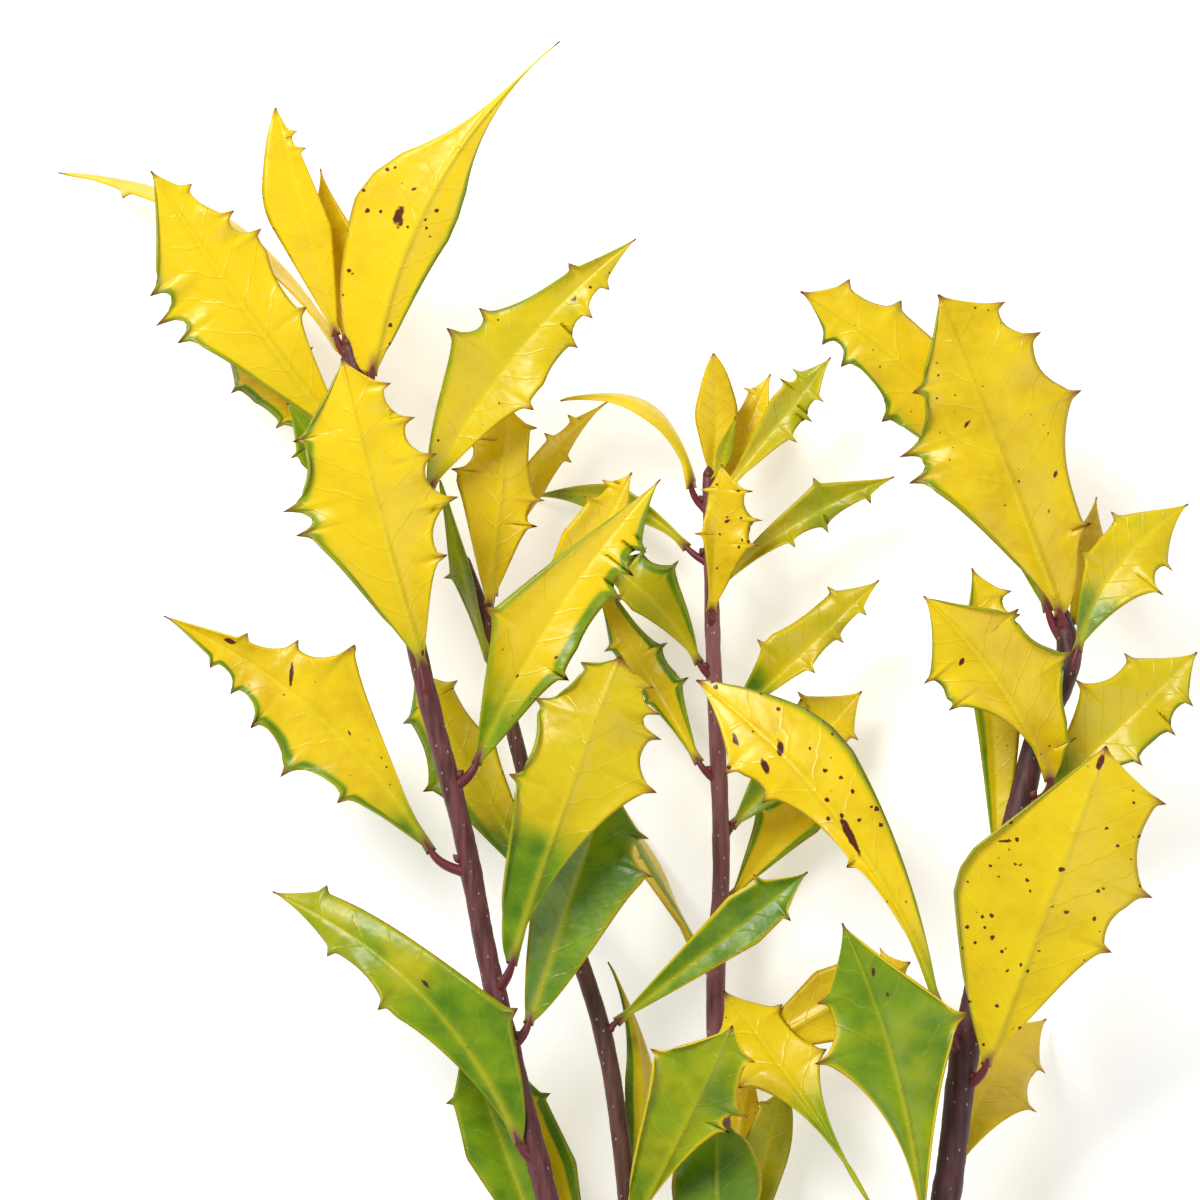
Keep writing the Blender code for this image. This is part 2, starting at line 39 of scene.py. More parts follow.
ROW_STEP = 1.35
COLUMN_STEP = 1.3
FEWEST_COLUMNS = 12
MOST_COLUMNS = 30
COLUMN_BUNCHING = 1.2
BLADE_THICKNESS = 0.5
RIM_SWELL = 0.3
RIB_HEIGHT = 0.9
RIB_WIDTH = 1.1
RIM_SQUARENESS = 10
TIP_CLOSING = 30
SWELL_PLACE = 0.95
SWELL_WIDTH = 0.05
RIB_GROOVE = 0.25
RIB_LENGTH = 1.15
RIB_FADE = 0.6

# Needles on the spines, and the rows of the mesh beside each, in needle widths.
NEEDLE_LENGTH = 1.8
NEEDLE_WIDTH = 0.010
NEEDLE_ROWS = (-1.6, -0.8, 0.0, 0.8, 1.6)

# Rolled margins: how far they turn, and where along a blade they start and end.
ROLL_TURN = 2.5
ROLL_SPINE_GAP = 0.045
ROLL_START = (0.08, 0.25)
ROLL_END = (0.0, 0.1)
LEAST_ROLL = 0.001

# Uneven lift of a blade: how often it changes, and its height for its reach.
RIPPLES_ALONG = 4
RIPPLES_ACROSS = 1.5
RIPPLE_REACH = 12
RIPPLE_HEIGHT = 0.09

# Marks on a blade: how soft each border is, and where the dark ends begin, as
# fractions along the blade or across it. Leaves differ in tone within a range.
EDGE_BLUR = 0.17
FOOT_BLUR = 0.22
BAND_BLUR = 0.14
RIM_BLUR = 0.06
TIP_MARK = (0.965, 0.995)
SPINE_MARK = (0.78, 0.98)
RIM_MARK = (0.86, 0.97)
STALK_MARK = (0.01, 0.08)
BLOT_FADE = 0.7
TONES = (0.15, 0.6)

FOLD = 0.18
WAVE = 1.9
SHOULDER = 0.13
SHOULDER_TURN = 8
SCALLOP = 0.22
SCALLOP_ROUNDNESS = 0.75
APEX_TAPER = 1.3
ROUNDING = 0.07
TIP_WIDTH = 0.2

PETIOLE_RADIUS = 1.4
PETIOLE_TIP_RADIUS = 0.45
PETIOLE_SINK = 0.05
PETIOLE_DROP = 0.5
PETIOLE_LEAD = 0.45
PETIOLE_FLARE = 4
PETIOLE_RINGS = 12
PETIOLE_SIDES = 12
SINK_RINGS = 4
FOOT_FLARE = 0.35
FOOT_FLARE_FALL = 5
NARROW_REACH = 8
NARROW_SHARE = 0.75

STEM_RING_STEP = 1.2
STEM_SIDES = 28
BARK_RELIEF = 0.045
BARK_COARSE = (1.6, 0.25, 1.6)
BARK_FINE = (3, 1.1, 3)
NODE_SWELL = 0.07
NODE_SPREAD = 3.0
MOST_SWELL = 1.2

BUD_ABOVE = 2.5
BUD_LEAN = (0, 0.9, 0.1)
BUD_SINK = 0.3
BUD_LENGTH = 1.9
BUD_WIDTH = 0.9
BUD_WIDER = 0.3
BUD_POINT = 0.04
BUD_RINGS = 8
BUD_SIDES = 10
TIP_BUD_SINK = 0.8
TIP_BUD_LENGTH = 3.6

# Layout for baking: each body has a cell of its own, with a gap round it, and a
# tube's cell holds its wall and, beside that, its two ends.
CELL_FILL = 0.96
CELL_GAP = 0.02
WALL_SHARE = 0.9
CAP_MIDDLES = (0.935, 0.975)
CAP_WIDE = 0.012
CAP_HIGH = 0.3
RING_START = Vector((0.13, 0.21, 0.97))

CAMERA_HEIGHT = 3040.0
CAMERA_LENS = 360.0
VIEW_MIDDLE = (0.0, 150.0)

# Lamps: name, place and size in metres, power in watts.
LAMPS = (("key", (-0.7, 0.9, 1.4), 0.7, 27), ("fill", (1.0, -0.6, 1.4), 1.2, 8))
SKY_STRENGTH = 0.44
FLOOR_REACH = 3.0

# Colours as linear values.
YELLOW = (0.78, 0.55, 0.003)
YELLOW_DEEP = (0.54, 0.34, 0.002)
YELLOW_PALE = (0.72, 0.59, 0.015)
OLIVE = (0.38, 0.39, 0.003)
GREEN_LIGHT = (0.21, 0.32, 0.003)
GREEN_DARK = (0.055, 0.155, 0.002)
BROWN = (0.085, 0.014, 0.004)
MAROON = (0.16, 0.022, 0.012)
PETIOLE_PURPLE = (0.13, 0.022, 0.045)
LENTICEL = (0.60, 0.48, 0.42)
BUD = (0.09, 0.035, 0.018)
FLOOR_WHITE = (0.93, 0.93, 0.93)
FLOOR_GLOW = 0.32

# Bark of each shoot: main colour and the colour of its streaks.
BARKS = {
    "A": ((0.075, 0.020, 0.020), (0.16, 0.045, 0.050)),
    "B": ((0.060, 0.024, 0.016), (0.13, 0.050, 0.032)),
    "C": ((0.15, 0.052, 0.056), (0.25, 0.090, 0.095)),
    "D": ((0.040, 0.013, 0.013), (0.095, 0.030, 0.032)),
}

# Share of the usual mirror gloss that a surface has.
LEAF_GLOSS = 0.33
BARK_GLOSS = 0.35

# Depth of the relief in each material, in metres.
LEAF_BUMP = 0.00026
BARK_BUMP = 0.00025
STALK_BUMP = 0.00012

# One point of a shoot: place along the branch, sideways, height and thickness.
Knot = namedtuple("Knot", "y x z thick")

SHOOTS = {
    "A": (Knot(-105, 24, 13, 6.6), Knot(-85, 15, 19, 6.8), Knot(-62, 3, 28, 6.4),
          Knot(0, -13, 44, 5.8), Knot(58, -27.5, 44, 5.4), Knot(91, -34, 43, 5.2),
          Knot(132, -44.5, 43, 5.0), Knot(190, -56, 41, 4.8), Knot(214, -63, 40, 3.2)),
    "B": (Knot(-140, 32, 8.5, 7.6), Knot(-105, 24, 13, 7.4), Knot(-62, 14.5, 20, 6.0),
          Knot(0, 7, 28, 4.8), Knot(40, 1, 28, 4.5), Knot(80, -12, 27, 4.2),
          Knot(114, -21, 27, 3.9), Knot(147, -29.5, 26, 3.4), Knot(159, -33.5, 26, 2.6)),
    "C": (Knot(-220, 36, 5.5, 11.0), Knot(-165, 33.5, 7, 9.8), Knot(-140, 32, 8.5, 9.0),
          Knot(-62, 31.5, 16, 6.4), Knot(0, 31.5, 22, 5.0), Knot(45, 29, 22, 4.6),
          Knot(85, 30.5, 22, 4.3), Knot(136, 28.5, 23, 3.8), Knot(181, 27.3, 24, 3.0)),
    "D": (Knot(-165, 33.5, 7, 8.0), Knot(-120, 50, 18, 8.2), Knot(-62, 72, 36, 7.6),
          Knot(0, 86, 48, 7.2), Knot(40, 91.5, 48, 7.0), Knot(101, 105.5, 46, 6.5),
          Knot(115, 109, 45, 6.3), Knot(135, 117, 43, 6.0), Knot(146, 115.5, 42, 4.2)),
}

# Each shoot's name in the solid part, and the limb that its wood replaces.
SHOOT_NAMES = {"A": "left_shoot", "B": "second_shoot", "C": "third_shoot", "D": "right_shoot"}
LIMBS = {"A": "left_shoot_stalk", "B": "left_limb", "C": "main_stem", "D": "right_limb"}

# One half of a blade: its widest reach from the midrib, the fractions of the
# midrib at which its spines stand, where it is widest, how it fills out below
# and above that, and how far its margin is lifted towards +z.
Side = namedtuple("Side", "reach spines widest root nose lift",
                  defaults=((), 0.58, 1.0, 0.5, 0.0))

# A leaf: shoot, height of its foot, face that looks up (1 upper, -1 under), the
# blade's base and tip seen from above, sideways bow of the midrib, heights of
# base, middle and tip over the shoot, and its left and right halves.
Leaf = namedtuple("Leaf", "name foot face base tip bow rise left right")


def leaf(name, foot, face, base, tip, bow, rise, left, right):
    return Leaf(name, foot, face, base, tip, bow, rise, Side(*left), Side(*right))


LEAVES = (
    # left shoot
    leaf("A1", 200, 1, (-64, 212), (-137, 258), 10, (-4, -13, -34),
         (3.5, (0.55, 0.8), 0.5, 1, 0.8, 9), (3.5, (), 0.5, 1, 0.8, -9)),
    leaf("A2", 186, -1, (-64, 190), (-112, 257), -1, (0, 5, 7),
         (19.5, (0.53, 0.61, 0.69), 0.6, 1.1, 0.8), (15.5, (0.39, 0.67, 0.76, 0.9), 0.6, 0.8, 0.8)),
    leaf("A3", 184, 1, (-62, 186), (-99, 225), 0, (-4, -16, -39),
         (11, (0.34, 0.61), 0.5), (10, (0.5,), 0.5)),
    leaf("A4", 166, 1, (-57, 168), (-78, 199), 0, (3, 9, 12),
         (6, (0.68,), 0.6, 1, 0.8), (5, (), 0.5)),
    leaf("A5", 208, 1, (-66, 216), (-81, 273), 0, (0, 4, 3),
         (10, (), 0.6, 1, 0.7), (7, (0.8, 0.88), 0.45, 0.8, 0.8)),
    leaf("A6", 206, 1, (-63, 213), (-70, 258), 0, (-2, -4, -4),
         (7, (0.6,), 0.5), (7, (0.62,), 0.55)),
    leaf("A7", 202, -1, (-57, 206), (-10, 289), -9, (4, 16, 14),
         (18, (), 0.47, 0.4, 3.5), (10, (), 0.47, 0.6, 2.4)),
    leaf("A8", 124, -1, (-44, 133), (-64, 210), -1, (5, 21, 24),
         (22, (0.5, 0.58, 0.78), 0.56, 1.1, 0.6), (19, (0.32, 0.49, 0.64, 0.77, 0.89), 0.5)),
    leaf("A9", 82, 1, (-42, 87), (-109, 146), 7, (1, 3, -2),
         (17, (0.27, 0.45, 0.62, 0.73, 0.82), 0.48, 0.9, 1.25),
         (18.5, (0.54, 0.66, 0.78), 0.53, 1.6, 1.9)),
    leaf("A10", 103, 1, (-31, 109), (15, 180), -4, (3, 9, 11),
         (14, (0.41,), 0.42, 1, 1.3), (12, (0.35, 0.65, 0.73, 0.81), 0.45, 0.7, 0.4)),
    leaf("A11", 52, -1, (-22, 59), (5, 136), -1, (6, 23, 26),
         (16, (0.55, 0.79, 0.94), 0.75, 0.5, 0.6), (19.5, (0.65, 0.81, 0.88, 0.95), 0.66, 1.9, 0.4)),
    leaf("A12", 38, 1, (-18, 44), (3, 106), 0, (1, 2, 2),
         (11, (0.6,), 0.5, 0.7), (16.5, (0.69, 0.82), 0.66, 0.7, 0.5)),
    leaf("A13", 167, 1, (-43, 177), (9, 240), -5, (-2, 4, 8),
         (16, (0.43, 0.53, 0.8), 0.44, 0.8, 1.3), (13, (0.39, 0.64, 0.74, 0.84), 0.48, 1, 1.0)),
    leaf("A14", 10, 1, (-20, 14), (-82, 77), 9, (3, 6, -8),
         (9, (0.56, 0.78), 0.5), (15, (0.31, 0.88), 0.32, 0.7, 0.55)),
    leaf("A15", -21, 1, (-14, -15), (-35, 42), 0, (-4, -9, -9),
         (11, (0.74,), 0.5, 0.7), (12, (0.7,), 0.5)),
    leaf("A16", -28, 1, (-2, -22), (-23, 35), 0, (-5, -16, -20),
         (9, (), 0.5), (8, (0.8,), 0.5)),
    leaf("A20", -40, 1, (-10, -34), (-72, -10), -4, (0, -4, -18),
         (15, (0.42, 0.6, 0.78),), (15, (0.5, 0.68, 0.84),)),
    leaf("A21", -54, -1, (-4, -53), (-62, -62), 5, (-3, -12, -26),
         (14, (0.45, 0.66, 0.82),), (14, (0.4, 0.6, 0.8),)),
    # second shoot
    leaf("B0", 131, 1, (-27, 134), (-40, 180), -1, (3, 11, 12),
         (3, (0.5,), 0.5, 1, 0.6, 5), (2.5, (), 0.5, 1, 0.6, -5)),
    leaf("B1", 144, -1, (-28, 148), (-23, 199), 0, (1, 5, 5),
         (12, (0.66, 0.8), 0.6, 0.9), (10, (0.42, 0.55, 0.9), 0.5, 0.9, 0.3)),
    leaf("B2", 146, 1, (-27, 151), (2, 200), -6, (-3, -6, -9),
         (4.5, (0.72, 0.84), 0.5, 1, 0.6, 6), (4.5, (0.7,), 0.5, 1, 0.6, -6)),
    leaf("B3", 133, 1, (-24, 137), (8, 182), 2.5, (0, 3, 4),
         (9, (0.8, 0.91), 0.6), (9, (0.5, 0.75), 0.5)),
    leaf("B4", 71, -1, (-15, 77), (-47, 133), 0, (-1, -4, -6),
         (12, (0.56, 0.83), 0.58, 0.9), (9, (0.6, 0.87), 0.6, 0.7, 0.3)),
    leaf("B5", 39, 1, (4, 44), (52, 82), 0, (2, 9, 11),
         (8.5, (0.82,), 0.68, 0.9, 0.5), (7, (0.82,), 0.66, 0.9, 0.5)),
    leaf("B7", 0, -1, (7, 4), (2, 59), 5.5, (-3, -9, -5),
         (4.5, (), 0.4, 0.8, 1.4, 4), (4.2, (), 0.4, 0.8, 1.4, -4)),
    leaf("B8", -14, -1, (8, -9), (33, 44), 0, (4, 18, 24),
         (15, (0.76,), 0.72, 0.6, 0.3), (12, (0.58, 0.67, 0.9), 0.66, 2.0, 0.4)),
    leaf("B20", -36, -1, (11, -30), (13, -6), 0, (3, 24, 38),
         (13, (0.5, 0.68, 0.84),), (12, (0.45, 0.62, 0.8),)),
    # third shoot
    leaf("C1", 177, 1, (28, 181), (28.5, 212), 1, (0, 0, 2),
         (5.8, (), 0.5, 0.7, 0.6), (5.8, (), 0.5, 0.7, 0.6)),
    leaf("C1b", 176, 1, (29, 180), (34, 196), 0, (2, 4, 8),
         (2.2, (), 0.45, 0.7, 0.9), (2.2, (), 0.45, 0.7, 0.9)),
    leaf("C2", 172, -1, (23, 178), (-10, 200), 10, (0, 4, 4),
         (2.4, (), 0.5, 0.8, 0.9, 5), (2.4, (), 0.5, 0.8, 0.9, -5)),
    leaf("C3", 174, 1, (31, 177), (58, 211), 0, (0, 1, 2),
         (6, (0.72, 0.81), 0.6), (5.5, (0.49, 0.64, 0.77), 0.55)),
    leaf("C3b", 173, 1, (30, 177), (43, 207), 0, (-3, -7, -9),
         (5, (0.5, 0.82), 0.6), (5, (0.7,), 0.55)),
    leaf("C4", 142, 1, (28, 147), (30.5, 184), 0, (3, 10, 12),
         (4.6, (0.52, 0.82), 0.6), (10.5, (0.47, 0.64, 0.83), 0.56, 0.9, 0.5)),
    leaf("C5", 159, 1, (22, 163), (-18, 176), 6, (-1, -8, -22),
         (6, (0.55,), 0.6), (5, (0.5,), 0.6)),
    leaf("C6", 147, 1, (29, 153), (74, 181), -3, (-2, -2, 0),
         (6.5, (0.66,), 0.64, 1, 0.9), (4.5, (0.42, 0.6, 0.85), 0.6, 1, 0.6)),
    leaf("C7", 130, 1, (25, 134), (0, 160), 2.5, (2, 3, 0),
         (6, (0.73, 0.88), 0.6), (10.5, (0.6, 0.8, 0.92), 0.62, 1, 0.5)),
    leaf("C8", 54, -1, (24, 62), (2, 101), 0, (-3, -10, -16),
         (2.7, (0.6,), 0.5, 1, 0.6, 6), (3, (), 0.5, 1, 0.6, -6)),
    leaf("C9", 104, 1, (25, 109), (-1, 153), 0, (1, -4, -8),
         (5.5, (0.39, 0.71), 0.6), (8, (0.39, 0.59, 0.91), 0.45)),
    leaf("C10", 114, 1, (32, 119), (70, 155), 0, (1, 6, 7),
         (10, (0.38, 0.8), 0.45, 0.9, 0.5), (4.5, (0.47, 0.67, 0.84), 0.5)),
    leaf("C11", 89, 1, (33, 93), (66, 127), 0, (-1, -5, -6),
         (13, (0.5, 0.76), 0.6), (9, (0.5, 0.8), 0.6, 0.8)),
    leaf("C13", 70, 1, (33, 75), (61, 109), 0, (-4, -13, -16),
         (10, (0.5, 0.75), 0.5), (7, (0.66,), 0.6)),
    leaf("C14", 28, -1, (35, 35), (78, 59), 0, (1, 3, 3),
         (11, (0.76, 0.9), 0.55, 0.9), (10, (0.72, 0.91), 0.5)),
    leaf("C17", -34, -1, (30, -28), (29, 19), 0, (4, 12, 8),
         (12, (), 0.66, 0.6, 0.35), (12, (), 0.7, 0.6, 0.35)),
    leaf("C18", -30, 1, (34, -22), (46, 27), 0, (-3, -6, -8),
         (8, (0.9,), 0.6), (6, (), 0.7, 0.6, 0.35)),
    leaf("C19", -22, -1, (30, -17), (39, 34), 0, (-5, -14, -15),
         (7, (0.7,), 0.6), (7, (0.6,), 0.6)),
    leaf("C20", -44, -1, (36, -40), (42, -14), 0, (3, 26, 42),
         (12, (0.5, 0.68, 0.84),), (13, (0.45, 0.62, 0.8),)),
    # right shoot
    leaf("D1", 140, -1, (115, 146), (84, 226), 0, (2, 13, 15),
         (24, (0.52, 0.6, 0.76), 0.56, 1.2, 1.0), (24, (0.22, 0.59, 0.79, 0.91), 0.62, 0.55, 0.4)),
    leaf("D2", 138, -1, (112, 147), (50, 227), 11, (0, 3, 2),
         (13, (0.27, 0.64, 0.82, 0.89), 0.6, 0.7, 0.5), (13, (0.5, 0.8, 0.92), 0.65, 0.9, 0.4)),
    leaf("D3", 128, 1, (119, 137), (147, 174), -5, (2, 2, -2),
         (10, (0.45, 0.68), 0.55), (12, (0.53, 0.7), 0.52)),
    leaf("D3b", 134, 1, (118, 144), (125, 176), 0, (-4, -12, -24),
         (5, (0.6,), 0.5), (6, (0.6,), 0.5)),
    leaf("D4", 36, -1, (85, 47), (24, 130), 8, (6, 11, -2),
         (13, (0.42, 0.68, 0.8), 0.76, 2.2, 0.5), (15.4, (), 0.7, 1.1, 0.8)),
    leaf("D5", -20, -1, (81, -15), (60, 70), 4, (5, 18, 21),
         (17, (0.64, 0.81), 0.64, 2.6, 0.6), (20, (0.65,), 0.65, 1.9, 0.8)),
    leaf("D6", 28, -1, (96, 34), (125, 114), 0, (5, 22, 29),
         (25.5, (), 0.52, 0.8, 1.0), (23, (0.44, 0.63, 0.9), 0.58, 1, 0.2)),
    leaf("D7", 98, -1, (112, 105), (80, 151), 3, (6, 20, 26),
         (16, (0.52, 0.7), 0.58, 2.4, 0.6), (19, (0.12, 0.43, 0.69), 0.45, 0.6, 0.6)),
    leaf("D8", 80, 1, (99, 85), (93, 158), 2, (-5, -8, -8),
         (5.5, (0.83,), 0.6, 0.6, 0.4), (9.5, (0.82, 0.9), 0.6, 0.7, 0.2)),
    leaf("D9", 93, 1, (110, 100), (149, 137), 0, (0, 2, 0),
         (15, (0.5, 0.75), 0.52, 0.9), (11, (0.45, 0.66, 0.81), 0.56, 0.8, 0.5)),
    leaf("D10", 3, 1, (89, 8), (113, 44), -4, (-3, -20, -46),
         (12, (0.5, 0.75), 0.55), (12, (0.53, 0.78), 0.52)),
    leaf("D11", -24, -1, (77, -18), (31, 52), 2, (-2, -11, -17),
         (12, (0.74, 0.9), 0.76, 4.5, 0.5), (11.5, (0.68, 0.86), 0.7, 4.5, 0.5)),
    leaf("D20", -34, 1, (86, -30), (144, -22), -4, (0, -4, -14),
         (15, (0.45, 0.64, 0.8),), (15, (0.4, 0.6, 0.78),)),
    leaf("D21", -50, -1, (80, -48), (136, -66), 4, (-3, -13, -37),
         (14, (0.42, 0.62, 0.8),), (14, (0.48, 0.68, 0.84),)),
)


def along(shoot, y):
    """Point (x, y, z) and thickness of a shoot at a height, on a smooth curve."""
    knots = SHOOTS[shoot]
    y = min(max(y, knots[0].y), knots[-1].y)
    index = next(i for i in range(1, len(knots)) if y <= knots[i].y)
    below, above = knots[index - 1], knots[index]
    before = knots[max(index - 2, 0)]
    after = knots[min(index + 1, len(knots) - 1)]
    span = above.y - below.y
    t = (y - below.y) / span

    def read(field):
        p0, p1, p2, p3 = (getattr(k, field) for k in (before, below, above, after))
        slope1 = (p2 - p0) / (above.y - before.y) * span
        slope2 = (p3 - p1) / (after.y - below.y) * span
        return ((2 * t**3 - 3 * t**2 + 1) * p1 + (t**3 - 2 * t**2 + t) * slope1
                + (3 * t**2 - 2 * t**3) * p2 + (t**3 - t**2) * slope2)

    return Vector((read("x"), y, read("z"))), read("thick")


def peaked(side, u):
    """Reach from the midrib at fraction u of its length, with a corner at its widest."""
    if u <= side.widest:
        return side.reach * (u / side.widest) ** side.root
    return side.reach * ((1 - u) / (1 - side.widest)) ** side.nose


def envelope(side, u):
    """Reach of the spine tips; on a margin with no spines the corner is rounded."""
    if side.spines:
        return peaked(side, u)
    step = min(ROUNDING, u, 1 - u)
    return (peaked(side, u - step) + peaked(side, u) + peaked(side, u + step)) / 3


def margin_wave(side, u):
    """Spines stand alternately above and below the blade."""
    if not side.spines:
        return 0.0
    stops = (0.0,) + side.spines + (1.0,)
    signs = [0.0] + [(-1.0) ** i for i in range(len(side.spines))] + [0.0]
    index = next(i for i in range(1, len(stops)) if u <= stops[i])
    t = (u - stops[index - 1]) / (stops[index] - stops[index - 1])
    ease = (1 - math.cos(math.pi * t)) / 2
    return WAVE * (signs[index - 1] + (signs[index] - signs[index - 1]) * ease)


def midrib(lf, u):
    """Point on the midrib and the direction across it to its right."""
    base, tip = Vector(lf.base), Vector(lf.tip)
    chord = tip - base
    across = Vector((chord.y, -chord.x)).normalized()
    place = base + chord * u + across * (lf.bow * 4 * u * (1 - u))
    low, middle, high = lf.rise
    height = low * (1 - u) * (1 - 2 * u) + middle * 4 * u * (1 - u) + high * u * (2 * u - 1)
    height += along(lf.name[0], lf.foot)[0].z
    run = chord + across * (lf.bow * 4 * (1 - 2 * u))
    return Vector((place.x, place.y, height)), Vector((run.y, -run.x, 0)).normalized()


# How a blade is coloured: how green it is all over; the share of its left and
# right half, from the margin in, and of its length, from the base up, that is
# green; half the width of a green band on the midrib; how spotted it is; and the
# share of the margin that stays yellow on a green blade.
Look = namedtuple("Look", "green left right base rib brown rim",
                  defaults=(0.0, 0.0, 0.0, 0.0, 0.0, 0.25, 0.0))

LOOKS = {
    "A2": Look(left=0.14),
    "A3": Look(green=0.1, left=0.22, right=0.22),
    "A4": Look(green=0.9),
    "A7": Look(right=0.12, brown=0.7),
    "A8": Look(left=0.18, base=0.05, brown=0.1),
    "A9": Look(left=0.24, base=0.14, brown=0.45),
    "A10": Look(left=0.12, right=0.32, base=0.22, brown=0.4),
    "A11": Look(green=0.3, base=0.42, left=0.14),
    "A12": Look(green=1.0, rim=0.03),
    "A13": Look(green=0.28, left=0.10, base=0.08, brown=0.5),
    "A14": Look(green=0.55, base=0.55, brown=0.3),
    "A15": Look(green=1.0),
    "A16": Look(right=0.45),
    "A20": Look(green=0.2, left=0.3),
    "A21": Look(left=0.2, right=0.3),
    "B0": Look(green=1.0),
    "B3": Look(base=0.45),
    "B4": Look(green=0.3, base=0.3, left=0.3),
    "B5": Look(green=1.0, rim=0.05, brown=0.1),
    "B7": Look(green=0.3, left=0.5),
    "B8": Look(green=0.62, rim=0.10, left=0.2),
    "B20": Look(green=0.5, rim=0.1),
    "C1b": Look(green=0.5),
    "C3": Look(green=0.4),
    "C4": Look(brown=0.6),
    "C5": Look(green=0.5),
    "C6": Look(green=0.45),
    "C7": Look(green=0.45, right=0.3),
    "C8": Look(rib=0.35),
    "C9": Look(green=0.2, left=0.3, right=0.3),
    "C10": Look(green=0.34, base=0.28, brown=0.4),
    "C11": Look(green=0.2, base=0.3),
    "C13": Look(left=0.28, right=0.28),
    "C14": Look(brown=0.1),
    "C17": Look(green=1.0, rim=0.07),
    "C18": Look(green=0.5, base=0.4, brown=0.25),
    "C20": Look(green=0.5),
    "D1": Look(green=0.1, left=0.14, brown=0.45),
    "D2": Look(green=0.1, left=0.2, base=0.12, brown=0.5),
    "D3": Look(green=0.28, base=0.3),
    "D4": Look(right=0.10, base=0.14, brown=0.8),
    "D5": Look(green=0.72, rim=0.05, brown=0.1),
    "D6": Look(green=0.16, left=0.08, brown=0.7),
    "D7": Look(left=0.08, right=0.10, brown=0.45),
    "D8": Look(green=0.25, left=0.4, brown=0.3),
    "D9": Look(green=0.34, base=0.25, right=0.1, brown=0.4),
    "D11": Look(green=0.1, base=0.58, brown=0.3),
    "D20": Look(left=0.25),
    "D21": Look(left=0.2, right=0.3),
}

# Margins that roll up and over: the half (-1 left, 1 right) and the share of it.
ROLLS = {
    "A2": (-1, 0.22),
    "A8": (-1, 0.22),
    "A9": (-1, 0.14),
    "A11": (-1, 0.26),
    "B8": (-1, 0.28),
    "D1": (-1, 0.22),
    "D2": (-1, 0.20),
    "D5": (1, 0.18),
    "D6": (-1, 0.14),
    "D7": (1, 0.28),
}

# Brown blotches: place along and across the blade, length, width in millimetres,
# and the turn of the long side from the midrib in degrees.
Blot = namedtuple("Blot", "u v long wide turn")

BLOTS = {
    "A7": (Blot(0.40, -0.28, 5.5, 2.2, -20), Blot(0.48, -0.32, 1.6, 1.1, 0)),
    "A8": (Blot(0.05, 0.54, 0.9, 0.9, 0),),
    "A9": (Blot(0.81, 0.6, 3.0, 1.3, 0), Blot(0.62, 0.37, 7.0, 0.8, 60),
           Blot(0.40, 0.22, 2.0, 0.6, 20)),
    "A10": (Blot(0.28, 0.0, 1.3, 0.9, 0), Blot(0.23, 0.65, 1.3, 0.9, 40),
            Blot(0.18, 0.69, 1.1, 0.8, 0), Blot(0.39, 0.66, 1.2, 0.9, 0)),
    "A13": (Blot(0.55, -0.64, 1.4, 1.0, 0), Blot(0.74, 0.2, 1.8, 0.8, 20)),
    "A14": (Blot(0.51, 0.3, 3.6, 1.0, 0),),
    "C4": (Blot(0.62, 0.25, 1.2, 0.9, 0), Blot(0.35, 0.23, 1.0, 0.8, 0)),
    "D1": (Blot(0.62, -0.24, 1.9, 1.2, 30), Blot(0.39, 0.77, 1.2, 1.1, 0),
           Blot(0.30, 0.45, 1.1, 1.1, 0), Blot(0.18, 0.7, 1.2, 0.9, 0)),
    "D4": (Blot(0.48, -0.02, 10.0, 1.8, 8), Blot(0.75, 0.09, 4.0, 1.5, 40),
           Blot(0.74, -0.54, 5.0, 1.6, 30), Blot(0.84, -0.6, 3.0, 1.5, 0)),
    "D5": (Blot(0.84, 0.3, 2.6, 0.9, 30), Blot(0.77, 0.31, 1.4, 0.8, 0)),
    "D6": (Blot(0.62, 0.01, 1.3, 1.3, 0), Blot(0.51, 0.31, 1.5, 1.1, 30),
           Blot(0.51, 0.07, 1.2, 1.0, 0), Blot(0.36, -0.48, 1.6, 1.0, 0),
           Blot(0.29, -0.21, 1.2, 1.1, 0), Blot(0.34, 0.15, 1.1, 0.9, 0),
           Blot(0.64, -0.72, 2.6, 0.8, 60), Blot(0.95, 0.0, 3.4, 1.6, 0)),
    "D7": (Blot(0.67, -0.34, 2.4, 1.1, 60), Blot(0.56, -0.36, 0.9, 0.9, 0)),
}


def smooth_step(low, high, value):
    t = min(max((value - low) / (high - low), 0.0), 1.0)
    return t * t * (3 - 2 * t)


def border(blur, value):
    """0 well below a border at 0, 1 well above it."""
    return smooth_step(-blur, blur, value)


def margin_reach(side, u):
    """Reach of the margin: arcs hang between the spine tips, each with a needle."""
    body = envelope(side, u)
    if side.spines:
        stops = (0.0,) + side.spines + (1.0,)
        index = next(i for i in range(1, len(stops)) if u <= stops[i])
        t = (u - stops[index - 1]) / (stops[index] - stops[index - 1])
        if index == 1:
            body *= 1 - SHOULDER * (1 - t**SHOULDER_TURN)
        elif index == len(stops) - 1:
            body = envelope(side, stops[-2]) * (1 - t) ** APEX_TAPER
        else:
            body *= 1 - SCALLOP * math.sin(math.pi * t) ** SCALLOP_ROUNDNESS
    body += NEEDLE_LENGTH * needle(side, u)
    return max(body, PETIOLE_RADIUS * (1 - u) ** PETIOLE_FLARE, TIP_WIDTH)


def needle(side, u):
    """1 at a spine, falling to 0 close beside it."""
    near = min((abs(u - spine) for spine in side.spines), default=1.0)
    return math.exp(-((near / NEEDLE_WIDTH) ** 2))


